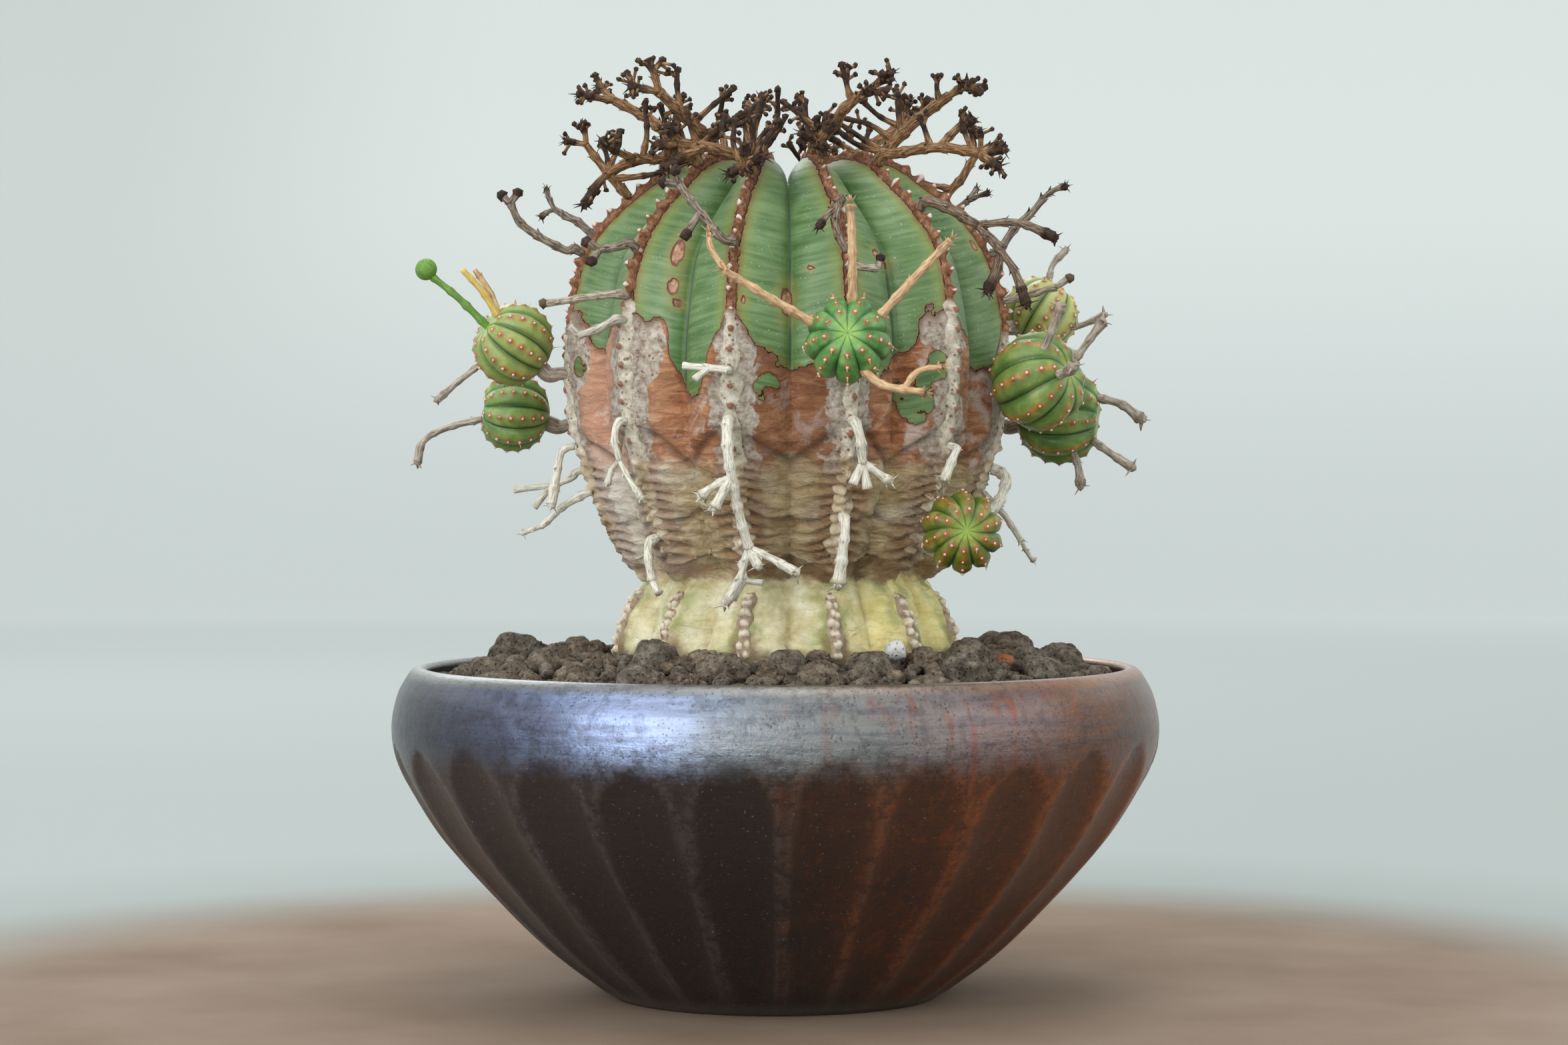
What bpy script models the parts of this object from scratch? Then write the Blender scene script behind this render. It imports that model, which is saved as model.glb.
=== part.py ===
"""A potted euphorbia: a ribbed succulent stem with corky rib margins, seven offsets and many
dried flower stalks, standing in coarse lava grit in a fluted, glazed stoneware bowl.

Every size below is in millimetres, and meshes are made in metres. The origin is the centre of
the bowl's foot, +Z is up and the front of the plant faces -Y. A turn is an angle in degrees
round +Z, counted from the front and growing towards +X.
"""

import math
import random

import bmesh
import bpy
from mathutils import Matrix, Quaternion, Vector

MM = 0.001
GAP = 0.3
UP = Vector((0.0, 0.0, 1.0))

# The bowl, turned, with flutes cut down its outside
FLUTES = 25
FLUTE_TURN = -5.9
FLUTE_DEPTH = 1.5
FLUTE_TOP = 57.0
FOOT_RADIUS = 36.5
FOOT_INNER = 31.0
FOOT_RECESS = 2.6
FLOOR_TOP = 8.0
DRAIN_RADIUS = 10.0
RIM_HEIGHT = 73.5
BOWL_OUTSIDE = [(FOOT_RADIUS, 0.0), (39.5, 2.0), (51.1, 10.8), (63.0, 22.7), (73.6, 34.6),
                (80.4, 45.0), (84.3, 53.0), (85.4, 60.4), (84.1, 67.3), (82.0, 71.2),
                (79.6, RIM_HEIGHT)]
BOWL_INSIDE = [(77.6, 72.8), (80.6, 62.0), (77.0, 47.0), (54.0, 20.5)]
BOWL_FLOOR = [(28.0, FLOOR_TOP), (DRAIN_RADIUS, FLOOR_TOP), (DRAIN_RADIUS, FOOT_RECESS),
              (FOOT_INNER - 1.0, FOOT_RECESS), (FOOT_INNER, 0.0)]

# The drainage net under the soil
NET_HOLES = 3
NET_HOLE = 5.0
NET_BAR = 2.2
NET_THICK = 1.2

# The soil and its loose top layer of lava grit
SOIL_SIDES = 32
SOIL_CLEAR = 0.5
PIT_CLEAR = 0.45
SOIL_EDGE = (78.7, 67.0)
SOIL_MOUND = [(72.0, 70.0), (63.5, 72.8), (55.0, 74.6), (46.5, 75.6)]
SOIL_ROUGH = 1.5
PIT_RIM = 75.5
GRIT_GRAINS = 34
GRIT_RADIUS = (4.2, 6.6)
GRIT_RING = (47.0, 72.0)

# The stem: its outline along a rib's crest, and how deep the valleys are
STEM_X = 2.3
RIBS = 12
RIB_TURN = -13.7
STEM_SIDES = 4 * RIBS
CROWN = [(0.0, 178.0), (6.0, 181.0)]
CREST = [(12.0, 184.8), (18.0, 186.0), (25.0, 184.3), (31.5, 179.6), (39.6, 172.9),
         (45.9, 164.2), (49.0, 152.0), (50.1, 139.5), (48.6, 126.0), (45.2, 115.5),
         (41.2, 106.0), (37.4, 98.0)]
NECK = [(36.6, 95.6), (33.4, 93.6), (31.6, 92.2), (33.4, 90.4)]
BASE = [(36.0, 86.4), (37.6, 82.4), (38.6, 78.4)]
ROOT = [(38.6, 75.6), (36.0, 63.0), (26.0, 54.0), (0.0, 51.5)]
STATION_STEP = 5.25
VALLEYS = [(74.0, 0.0), (76.5, 0.6), (80.0, 3.6), (86.0, 4.4), (92.0, 3.4), (98.0, 4.0),
           (112.0, 4.6), (132.0, 5.4), (152.0, 6.0), (172.0, 6.6), (186.0, 6.4)]
VALLEY_BY_RADIUS = 0.42
NECK_HEIGHT = 92.5
NECK_LIFT = 3.0
NECK_SPREAD = 5.0

# The corky margin along each crest
MARGIN_HALF = 2.7
MARGIN_REACH = 0.74
MARGIN_LIFT = 0.36
KNOB = 2.4
SADDLE = 1.3
PUP_ROOM = 1.5

# The offsets: centre, radius, axis, ribs, twist over the globe, and where each one is rooted
PUPS = [
    ("pup_left_upper", (-57.4, -16.0, 144.6), 9.1, (-0.75, -0.35, 0.55), 9, 12.0, 10, 139.7),
    ("pup_left_lower", (-59.0, 10.0, 130.0), 8.7, (-0.95, -0.10, 0.10), 9, 10.0, 9, 128.0),
    ("pup_front", (15.2, -60.2, 144.0), 9.1, (-0.04, -0.97, 0.20), 9, 0.0, 1, 140.0),
    ("pup_right_upper", (60.5, 18.0, 152.7), 8.5, (0.60, 0.10, 0.80), 8, 10.0, 4, 150.0),
    ("pup_right_front", (57.0, -24.0, 136.3), 10.7, (0.72, -0.55, 0.22), 8, 30.0, 3, 133.0),
    ("pup_right_lower", (63.9, 6.0, 129.3), 10.8, (0.95, -0.15, -0.10), 9, 20.0, 4, 127.0),
    ("pup_low_right", (39.9, -36.8, 103.8), 8.7, (0.10, -0.99, 0.08), 10, 25.0, 2, 102.0),
]
PUP_RINGS = 7
PUP_FLATTEN = 0.93
PUP_VALLEY = 0.13
PUP_NECK = 2.0
PUP_NECK_RISE = 2.8

# Dried stalks on the offsets, each a path of points from inside the globe
PUP_STALKS = {
    "pup_left_upper": [
        (1.0, [(-62.0, -18.0, 147.5), (-69.0, -19.0, 154.5), (-75.3, -19.5, 159.6)]),
        (0.9, [(-59.5, -18.5, 149.0), (-63.8, -20.5, 156.0), (-68.0, -22.0, 160.6)]),
        (0.8, [(-60.0, -14.0, 150.0), (-62.6, -13.0, 156.0), (-66.0, -12.5, 161.0)]),
        (0.8, [(-64.5, -18.0, 140.0), (-70.0, -20.0, 135.5), (-73.4, -21.0, 132.4)]),
    ],
    "pup_left_lower": [
        (0.9, [(-66.0, 9.5, 128.5), (-74.0, 9.0, 126.5), (-79.2, 8.5, 123.5),
               (-80.6, 8.2, 118.7)]),
    ],
    "pup_front": [
        (1.1, [(9.0, -62.0, 147.0), (-2.0, -66.5, 153.2), (-10.5, -68.0, 158.2)]),
        (0.8, [(-10.0, -67.9, 157.9), (-13.0, -67.0, 162.6), (-13.6, -66.5, 166.0)]),
        (1.1, [(16.0, -62.0, 151.0), (16.0, -65.0, 160.0), (15.6, -66.0, 172.0)]),
        (1.1, [(21.0, -62.0, 148.2), (28.5, -64.5, 156.5), (36.3, -66.0, 164.6)]),
        (1.1, [(17.5, -63.0, 138.5), (22.5, -66.5, 134.6), (31.0, -67.5, 133.2)]),
        (0.8, [(26.5, -67.0, 133.8), (29.5, -67.8, 137.5), (34.3, -68.2, 138.4)]),
    ],
    "pup_right_upper": [
        (0.8, [(66.0, 15.0, 149.0), (70.0, 12.5, 150.0), (74.0, 10.0, 152.0)]),
        (0.8, [(62.0, 18.0, 159.0), (63.0, 19.0, 163.5), (66.0, 20.0, 167.0)]),
    ],
    "pup_right_front": [
        (1.1, [(57.5, -30.0, 142.0), (59.5, -33.5, 147.5), (61.0, -34.5, 152.0)]),
        (1.2, [(60.0, -30.5, 137.8), (62.0, -35.0, 137.8), (63.4, -39.5, 139.2)]),
        (1.0, [(64.5, -26.0, 140.5), (68.0, -28.5, 145.5), (70.5, -29.0, 149.0)]),
    ],
    "pup_right_lower": [
        (1.1, [(71.5, 3.0, 133.2), (77.0, 1.5, 131.8), (81.6, 1.0, 128.4)]),
        (1.0, [(71.0, 1.5, 123.5), (75.0, 0.0, 120.5), (79.4, -1.0, 117.6)]),
        (1.0, [(66.5, 2.0, 121.0), (67.6, 0.5, 117.5), (68.0, 0.0, 113.5)]),
    ],
    "pup_low_right": [],
}
SEED_POD = (-76.0, -19.6, 160.8)
SEED_POD_RADIUS = 2.5

# Dried flower stalks placed by hand where the front shows them. Each has its rib, its place on
# the crest (a height, or a radius with a minus sign near the crown), its radius, its path and
# its forks; a path's points are (sideways, outwards, upwards) from the root, and a fork starts
# from one of them.
STALKS = [
    (11, -27.0, 1.4, [(-3, 5, 1.5), (-6, 14, 1.5)],
     [(1, [(-4, 5, -4), (-6, 9, -10)]), (1, [(1, 6, 1), (1, 10, 3)]), (0, [(3, 3, 4)])]),
    (11, 163.0, 1.2, [(-2.5, 4, 0.5), (-5.5, 6, 0)],
     [(1, [(-2.4, 1.6, 1.6)]), (1, [(-1.2, 1.4, -2.4)])]),
    (11, 156.5, 1.1, [(-4.5, 6.5, 0), (-10, 10.4, -1)], [(1, [(-3, 2.4, -0.4)])]),
    (11, 150.5, 1.1, [(-3.5, 4.5, -1.5), (-7.2, 7, -3)], [(1, [(-1.4, 1.4, 2)])]),
    (11, 127.5, 1.0, [(0, 4, -4), (0.5, 3, -8.5)],
     [(1, [(-2.4, 0, -2.2), (-3.6, 0, -5)]), (1, [(2.4, -0.5, -4), (5, -1.5, -8)])]),
    (11, 100.5, 1.2, [(0.8, 4, -4), (2, 4, -9.5)], [(1, [(2.6, 0.4, -2.6)])]),
    (0, -26.0, 1.5, [(-3, 4, 2), (-9, 7, 3.5), (-15, 8, 4.5)],
     [(1, [(-4, 4, -2), (-8, 5, -5)]), (2, [(-5, 0.5, -0.5)]), (2, [(-2, 2, 3)])]),
    (0, -33.0, 1.4, [(-0.5, 5, 2), (1, 8, 2.5)],
     [(1, [(4, 2.5, 1.5)]), (1, [(-3, 2.5, -2)]), (1, [(0, 2, 3.6)])]),
    (0, 162.0, 1.2, [(-1.5, 5, 1.5), (-6, 5.5, 7), (-11, 4, 13)],
     [(1, [(-2.5, 2, -4.5)]), (2, [(-0.5, 1.5, 3)]), (2, [(-3.4, 0.6, 0.6)])]),
    (0, 137.0, 1.0, [(-3.5, 4, 0.3), (-9, 4.5, 0.8)], [(0, [(-2.4, 2.6, -2.4)])]),
    (0, 129.5, 1.35, [(0.6, 5, -6), (1.2, 4, -12), (1.8, 1, -19), (3.3, -2.5, -27)],
     [(1, [(-4, 0.4, -2), (-6.5, 0, -4)]), (1, [(-3.6, 0.8, -6.5)]),
      (3, [(4, 0, -1.8), (10, 0, -5)]), (3, [(-2, -0.5, -6), (-5.5, -1, -12)]),
      (3, [(2.2, 0.6, -3.8)])]),
    (0, 99.5, 0.9, [(0.8, 4, -2.5), (1.4, 5, -4.5)],
     [(1, [(4, 0.4, -0.3)]), (1, [(-2.6, 0, -4)])]),
    (1, -28.0, 1.4, [(-2, 4.5, 3), (-3, 7, 4.5)],
     [(1, [(-3.6, 1, 1.6)]), (1, [(2.6, 1.4, 3.4)]), (1, [(0.4, 3.6, -1.6)])]),
    (1, 172.5, 1.1, [(-2, 5.5, 0), (-3.4, 9.5, -5), (-1.6, 11.5, -10)],
     [(0, [(-3, 3, -2), (-5.4, 5, -4.6)])]),
    (1, 157.5, 1.0, [(2.2, 4, 0.4), (5.2, 4.2, 0.2)], [(1, [(0.4, 0.2, 2.2)])]),
    (1, 126.0, 1.3, [(0.5, 4.4, -3), (1.8, 2.6, -9)],
     [(1, [(3, 0.4, -2), (6, 0, -4)]), (1, [(1, 0, -5.5)]), (1, [(-2.2, 0, -4.6)])]),
    (1, 106.5, 1.3, [(-0.5, 4, -5), (-1.6, 3, -14.5)], []),
    (2, -26.0, 1.5, [(2, 4.5, 3), (6, 13, 4), (10, 21, 2.5)],
     [(1, [(3, 2.4, 4), (6, 4, 6)]), (2, [(3, 4, 1)]), (2, [(1, 4.4, -3)])]),
    (2, 171.0, 1.4, [(2.4, 5, 1), (8.4, 9.5, -3)],
     [(1, [(6, 6, 0.5), (12, 11.6, -2.5)]), (1, [(3.4, 3.6, -5.8), (2, 1.4, -14)]),
      (1, [(5.2, 5.4, -9), (7.6, 7.4, -17)])]),
    (2, 121.0, 1.0, [(-2, 4, -2), (-4.6, 3.6, -7)], []),
    (3, 156.5, 1.0, [(0, 5, 1), (-1, 12.5, 3)], [(1, [(0, 3, 2)])]),
    (3, 119.5, 1.5, [(-3, 4.4, -3), (-8, 3, -8.5), (-12, -2, -12)], []),
    (10, 162.5, 1.1, [(0, 5, 1), (-1, 13.5, 6), (-1.6, 16.5, 11)],
     [(2, [(-1.4, 1.6, 1.8)]), (2, [(1.4, -1.4, 2.2)])]),
    (10, 122.0, 1.0, [(0, 4, -3), (1, 6, -13)], []),
    (9, 118.0, 1.0, [(0, 4.4, -2.5), (-1, 9, -4)], [(1, [(0, 4, -5)]), (1, [(1, 8.5, -1)])]),
]

# Stalks by rule: the rings of them, from the crown down. Each ring has its place on the crest,
# the ribs it is on, length, radius, lean from upright and number of forks.
CROWN_RING = [(-14.5, 0, 21.0, 1.7, 14.0, 3), (-21.5, 1, 20.0, 1.6, 40.0, 2)]
SIDE_RINGS = [(-33.0, 13.0, 1.2, 2), (168.0, 14.0, 1.1, 2), (150.0, 11.0, 1.0, 1),
              (134.0, 12.0, 1.0, 1), (114.0, 12.0, 1.0, 1)]
BACK_RIBS = (3, 4, 5, 6, 7, 8, 9, 10)
LOWEST_STALK = 86.0
HIGHEST_STALK = 208.6
STALK_CLEAR = 0.6
THICK_STALK = 1.45
TRIES = 60
SEED = 7

COLOURS = {
    "bowl": ((0.060, 0.038, 0.034), 0.28, 0.45),
    "net": ((0.030, 0.030, 0.032), 0.55, 0.0),
    "grit": ((0.115, 0.092, 0.075), 0.95, 0.0),
    "stem": ((0.215, 0.285, 0.125), 0.55, 0.0),
    "cork": ((0.330, 0.215, 0.140), 0.85, 0.0),
    "pup": ((0.125, 0.270, 0.065), 0.45, 0.0),
}


def clear_scene():
    """Empty the scene, keeping the running file open."""
    for item in list(bpy.data.objects):
        bpy.data.objects.remove(item, do_unlink=True)


def finish(name):
    """The named Principled finish, made once."""
    found = bpy.data.materials.get(name)
    if found:
        return found
    colour, roughness, metallic = COLOURS[name]
    made = bpy.data.materials.new(name)
    made.use_nodes = True
    shader = made.node_tree.nodes["Principled BSDF"]
    shader.inputs["Base Color"].default_value = (*colour, 1.0)
    shader.inputs["Roughness"].default_value = roughness
    shader.inputs["Metallic"].default_value = metallic
    made.diffuse_color = (*colour, 1.0)
    return made


def place(name, bm, material, smooth=None):
    """Turn a bmesh in millimetres into a named object in metres."""
    bmesh.ops.recalc_face_normals(bm, faces=bm.faces)
    bmesh.ops.scale(bm, vec=(MM, MM, MM), verts=bm.verts)
    mesh = bpy.data.meshes.new(name)
    bm.to_mesh(mesh)
    bm.free()
    mesh.materials.append(finish(material))
    if smooth:
        mesh.shade_smooth()
        mesh.set_sharp_from_angle(angle=math.radians(smooth))
    item = bpy.data.objects.new(name, mesh)
    bpy.context.scene.collection.objects.link(item)
    return item


def mix(table, at):
    """Read a table of (place, value) at a place, straight between its rows."""
    if at <= table[0][0]:
        return table[0][1]
    for (low, first), (high, second) in zip(table, table[1:]):
        if at <= high:
            return first + (second - first) * (at - low) / (high - low)
    return table[-1][1]


def curve_through(points, step):
    """Points about a step apart along a smooth curve through the given ones."""
    knots = [Vector(p) for p in points]
    knots = [2 * knots[0] - knots[1]] + knots + [2 * knots[-1] - knots[-2]]
    fine = []
    for a, b, c, d in zip(knots, knots[1:], knots[2:], knots[3:]):
        for part in range(16):
            t = part / 16
            fine.append(0.5 * (2 * b + (c - a) * t + (2 * a - 5 * b + 4 * c - d) * t * t
                               + (3 * b - a - 3 * c + d) * t ** 3))
    fine.append(knots[-2])
    lengths = [0.0]
    for a, b in zip(fine, fine[1:]):
        lengths.append(lengths[-1] + (b - a).length)
    count = max(1, round(lengths[-1] / step))
    taken = []
    index = 0
    for number in range(count + 1):
        goal = lengths[-1] * number / count
        while index < len(fine) - 2 and lengths[index + 1] < goal:
            index += 1
        share = (goal - lengths[index]) / (lengths[index + 1] - lengths[index])
        taken.append(fine[index].lerp(fine[index + 1], share))
    return taken


def turn_of(point):
    """A point's turn round +Z in degrees."""
    return math.degrees(math.atan2(point.x, -point.y))


def at_turn(radius, height, turn):
    """The point at a radius, height and turn round +Z."""
    angle = math.radians(turn)
    return Vector((radius * math.sin(angle), -radius * math.cos(angle), height))


def turned(outline, steps, closed, start=0.0):
    """Spin an outline of (radius, height) round +Z; each vertex remembers its outline point."""
    bm = bmesh.new()
    mark = bm.verts.layers.int.new("outline")
    verts = []
    for number, (radius, height) in enumerate(outline):
        verts.append(bm.verts.new(at_turn(radius, height, start)))
        verts[-1][mark] = number
    edges = [bm.edges.new(pair) for pair in zip(verts, verts[1:])]
    if closed:
        edges.append(bm.edges.new((verts[-1], verts[0])))
    bmesh.ops.spin(bm, geom=verts + edges, cent=(0, 0, 0), axis=UP, angle=math.tau,
                   steps=steps, use_merge=True)
    bmesh.ops.remove_doubles(bm, verts=bm.verts, dist=0.0001)
    return bm, mark


# Bowl

def flute_depth(height):
    """How deep a flute is at a height: none above its rounded top, shallow at the foot."""
    return FLUTE_DEPTH * mix([(1.0, 0.0), (6.0, 0.7), (30.0, 1.0), (51.0, 0.95),
                              (FLUTE_TOP, 0.0)], height)


def flute_spread(height):
    """How far a flute's edge is turned from its even place: tongues narrow at the top."""
    return mix([(2.0, 1.6), (24.0, 1.3), (46.0, -0.2), (FLUTE_TOP, -1.4), (60.0, 0.0)], height)


def make_bowl():
    """Turn the bowl with its foot ring, floor and drain hole, then sink the flutes."""
    outline = BOWL_OUTSIDE + BOWL_INSIDE + BOWL_FLOOR
    step = 360.0 / (3 * FLUTES)
    bm, mark = turned(outline, 3 * FLUTES, closed=True, start=FLUTE_TURN)
    for vert in bm.verts:
        if not 0 < vert[mark] < len(BOWL_OUTSIDE) - 1:
            continue
        radius, height = outline[vert[mark]]
        turn = turn_of(vert.co)
        slot = round((turn - FLUTE_TURN) / step) % 3
        if slot == 0:
            vert.co = at_turn(radius - flute_depth(height), height, turn)
        else:
            side = 1.0 if slot == 1 else -1.0
            vert.co = at_turn(radius, height, turn + side * flute_spread(height))
    return place("pot", bm, "bowl", smooth=25)


def make_net():
    """The plastic mesh over the drain hole: a flat lattice of bars, given its thickness."""
    lines = [0.0]
    for _ in range(NET_HOLES):
        lines += [lines[-1] + NET_BAR, lines[-1] + NET_BAR + NET_HOLE]
    lines.append(lines[-1] + NET_BAR)
    half = lines[-1] / 2
    cells = len(lines) - 1
    bm = bmesh.new()
    bmesh.ops.create_grid(bm, x_segments=cells, y_segments=cells, size=cells / 2)
    holes = []
    for face in bm.faces:
        middle = face.calc_center_median() + Vector((cells / 2, cells / 2, 0))
        if int(middle.x) % 2 == 1 and int(middle.y) % 2 == 1:
            holes.append(face)
    bmesh.ops.delete(bm, geom=holes, context="FACES")
    for vert in bm.verts:
        column = lines[round(vert.co.x + cells / 2)] - half
        row = lines[round(vert.co.y + cells / 2)] - half
        vert.co = Vector((column, row, FLOOR_TOP + GAP))
    bmesh.ops.solidify(bm, geom=bm.faces, thickness=-NET_THICK)
    return place("drain_net", bm, "net")


# Stem

class Station:
    """A place along the crest's outline: its radius and height, its outward normal, and the
    depth of the valleys there."""

    def __init__(self, before, here, after):
        self.radius, self.height = here
        along = (Vector(after) - Vector(before)).normalized()
        self.out = Vector((-along.y, along.x))
        depth = mix(VALLEYS, self.height)
        self.depth = min(depth, VALLEY_BY_RADIUS * self.radius)

    def outline_point(self, share):
        """The outline here, at a share of the way from a crest (0) to a valley (1)."""
        inset = self.depth * (0.6 * share + 0.4 * share ** 6)
        radius = self.radius - self.out.x * inset
        height = self.height - self.out.y * inset
        near = math.exp(-((self.height - NECK_HEIGHT) / NECK_SPREAD) ** 2)
        return radius, height + NECK_LIFT * share * near

    def point(self, turn, lift=0.0):
        """The stem's surface here at a turn, or a point lifted off a crest."""
        share = valley_share(turn)
        radius, height = self.outline_point(share)
        if lift:
            radius += self.out.x * lift
            height += self.out.y * lift
        return at_turn(radius, height, turn) + Vector((STEM_X, 0, 0))


def valley_share(turn):
    """0 on a crest, 1 in the valley half way to the next one."""
    half = 180.0 / RIBS
    away = (turn - RIB_TURN) % (2 * half)
    return min(away, 2 * half - away) / half


def rib_turn(rib):
    """The turn of a rib's crest."""
    return RIB_TURN + 360.0 / RIBS * rib


def crest_outline():
    """The stem's whole outline along a crest, from the crown's centre to the root's."""
    middle = curve_through(CREST, STATION_STEP)
    return CROWN + [tuple(p) for p in middle] + NECK + BASE + ROOT, len(CROWN), len(middle)


def all_stations():
    """Every station of the outline, and the slice of them that carries the margins."""
    outline, first, count = crest_outline()
    padded = [(-outline[1][0], outline[1][1])] + outline + [(0.0, outline[-1][1] - 1.0)]
    stations = [Station(*three) for three in zip(padded, padded[1:], padded[2:])]
    return stations, stations[first:first + count]


def make_stem(stations):
    """Turn the crest's outline, then press the valleys in between the ribs."""
    outline = [(s.radius, s.height) for s in stations]
    bm, mark = turned(outline, STEM_SIDES, closed=False, start=RIB_TURN)
    for vert in bm.verts:
        station = stations[vert[mark]]
        if station.radius > 0:
            vert.co = station.point(turn_of(vert.co))
        else:
            vert.co.x += STEM_X
    return place("stem", bm, "stem", smooth=50)


# Tubes and fused bodies

def loft(sections):
    """A closed bmesh through like sections, with a flat cap at each end."""
    bm = bmesh.new()
    loops = [[bm.verts.new(p) for p in section] for section in sections]
    count = len(loops[0])
    for low, high in zip(loops, loops[1:]):
        for side in range(count):
            after = (side + 1) % count
            bm.faces.new((low[side], low[after], high[after], high[side]))
    bm.faces.new(loops[0][::-1])
    bm.faces.new(loops[-1])
    bmesh.ops.recalc_face_normals(bm, faces=bm.faces)
    return bm


def tube(path, sides):
    """A tube along a path of (point, radius), its sections carried along without twist."""
    points = [p for p, _ in path]
    ahead = [(b - a).normalized() for a, b in zip(points, points[1:])]
    tangents = [ahead[0]] + [(a + b).normalized() for a, b in zip(ahead, ahead[1:])] + [ahead[-1]]
    across = tangents[0].orthogonal().normalized()
    sections = []
    for (point, radius), tangent in zip(path, tangents):
        across = (across - tangent * across.dot(tangent)).normalized()
        side = tangent.cross(across)
        ring = []
        for number in range(sides):
            angle = math.tau * number / sides
            ring.append(point + radius * (math.cos(angle) * across + math.sin(angle) * side))
        sections.append(ring)
    return loft(sections)


def mesh_object(bm, name):
    """A bmesh as a loose object, still in millimetres."""
    mesh = bpy.data.meshes.new(name)
    bm.to_mesh(mesh)
    bm.free()
    return bpy.data.objects.new(name, mesh)


def keep_main_body(bm):
    """Drop scraps and sealed hollows, so that only the largest closed shell stays."""
    left = set(bm.verts)
    shells = []
    while left:
        shell = {left.pop()}
        edge = list(shell)
        while edge:
            for link in edge.pop().link_edges:
                for vert in link.verts:
                    if vert in left:
                        left.discard(vert)
                        shell.add(vert)
                        edge.append(vert)
        shells.append(shell)
    shells.sort(key=len)
    bmesh.ops.delete(bm, geom=[v for shell in shells[:-1] for v in shell], context="VERTS")


def fuse(name, body, parts, material, smooth=None):
    """Join parts to a body by one Boolean union, applied, and leave the joined object."""
    group = bpy.data.collections.new(name + "_parts")
    bpy.context.scene.collection.children.link(group)
    for part in parts:
        group.objects.link(mesh_object(part, name + "_part"))
    base = mesh_object(body, name + "_body")
    bpy.context.scene.collection.objects.link(base)
    union = base.modifiers.new("join", "BOOLEAN")
    union.operation = "UNION"
    union.operand_type = "COLLECTION"
    union.collection = group
    bpy.context.view_layer.update()
    ready = base.evaluated_get(bpy.context.evaluated_depsgraph_get())
    bm = bmesh.new()
    bm.from_mesh(ready.to_mesh())
    for item in list(group.objects) + [base]:
        bpy.data.objects.remove(item, do_unlink=True)
    bpy.data.collections.remove(group)
    bmesh.ops.remove_doubles(bm, verts=bm.verts, dist=0.001)
    bmesh.ops.dissolve_degenerate(bm, edges=bm.edges, dist=0.001)
    keep_main_body(bm)
    bmesh.ops.triangulate(bm, faces=bm.faces)
    return place(name, bm, material, smooth)


# Space taken up round the plant

class Room:
    """What already fills the space round the stem: offsets as balls, and stalks as beads."""

    CELL = 4.0

    def __init__(self, stations):
        self.stations = stations
        self.balls = [(name, Vector(centre), radius) for name, centre, radius, *_ in PUPS]
        self.cells = {}

    def beads(self, path):
        """Beads about a millimetre apart along a path of (point, radius)."""
        for (a, first), (b, second) in zip(path, path[1:]):
            count = max(1, round((b - a).length))
            for number in range(count + 1):
                share = number / count
                yield a.lerp(b, share), first + (second - first) * share

    def off_stem(self, point):
        """How far a point stands outside the surface that the crests sweep."""
        here = Vector((math.hypot(point.x - STEM_X, point.y), point.z))
        near = min(self.stations, key=lambda s: (here - Vector((s.radius, s.height))).length)
        return (here - Vector((near.radius, near.height))).dot(near.out)

    def cell(self, point):
        return tuple(math.floor(c / self.CELL) for c in point)

    def take(self, owner, path):
        """Fill the space along a path."""
        for point, radius in self.beads(path):
            self.cells.setdefault(self.cell(point), []).append((owner, point, radius))

    def free(self, owner, root, path):
        """Whether a path, past its root, keeps clear of the stem and of all other owners."""
        for point, radius in self.beads(path):
            if not LOWEST_STALK < point.z < HIGHEST_STALK - radius:
                return False
            if (point - root).length > 5.0:
                if self.off_stem(point) < KNOB + radius + STALK_CLEAR:
                    return False
            for other, centre, reach in self.balls:
                if other != owner and (point - centre).length < reach + radius + 1.0:
                    return False
            if self.touched(owner, point, radius):
                return False
        return True

    def touched(self, owner, point, radius):
        """Whether a bead comes too near to another owner's stalk."""
        x, y, z = self.cell(point)
        for i in (x - 1, x, x + 1):
            for j in (y - 1, y, y + 1):
                for k in (z - 1, z, z + 1):
                    for other, centre, reach in self.cells.get((i, j, k), ()):
                        if other == owner:
                            continue
                        if (point - centre).length < reach + radius + STALK_CLEAR:
                            return True
        return False


# Flower stalks

def crest_root(margin, rib, spot):
    """The crest point and outward direction at a height, or at minus a radius near the crown."""
    if spot < 0:
        station = min(margin[:12], key=lambda s: abs(s.radius + spot))
    else:
        station = min(margin[3:], key=lambda s: abs(s.height - spot))
    turn = rib_turn(rib)
    crest = station.point(turn)
    return crest, (station.point(turn, lift=1.0) - crest).normalized()


def rib_axes(rib):
    """The sideways and outward directions of a rib."""
    turn = rib_turn(rib)
    return at_turn(1, 0, turn + 90), at_turn(1, 0, turn)


def neck_path(margin, centre, radius, rib, height):
    """The short neck that carries an offset, from just above the margin to inside the globe."""
    root, normal = crest_root(margin, rib, height)
    foot = root + normal * (SADDLE + GAP + 0.1)
    middle = Vector(centre)
    inside = foot.lerp(middle, 1.0 - 0.45 * radius / (middle - foot).length)
    bend = foot + normal * PUP_NECK_RISE
    return [(foot, PUP_NECK * 0.8), (bend, PUP_NECK), (inside, PUP_NECK)]


def from_root(root, normal):
    """The sunk foot of a stalk in its margin, and a point just clear of it."""
    return [root + normal * (MARGIN_LIFT + 0.3), root + normal * 2.9]


def with_radii(points, radius, tip):
    """Give a path radii that run down from the first to the tip's."""
    last = max(1, len(points) - 1)
    return [(p, radius + (tip - radius) * n / last) for n, p in enumerate(points)]


def knobbed(points, radius):
    """A fork or twig: slim, ending in a dried knob."""
    path = with_radii(points, radius * 0.95, radius * 0.8)
    return path[:-1] + [(points[-1], radius * 1.3)]


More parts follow.
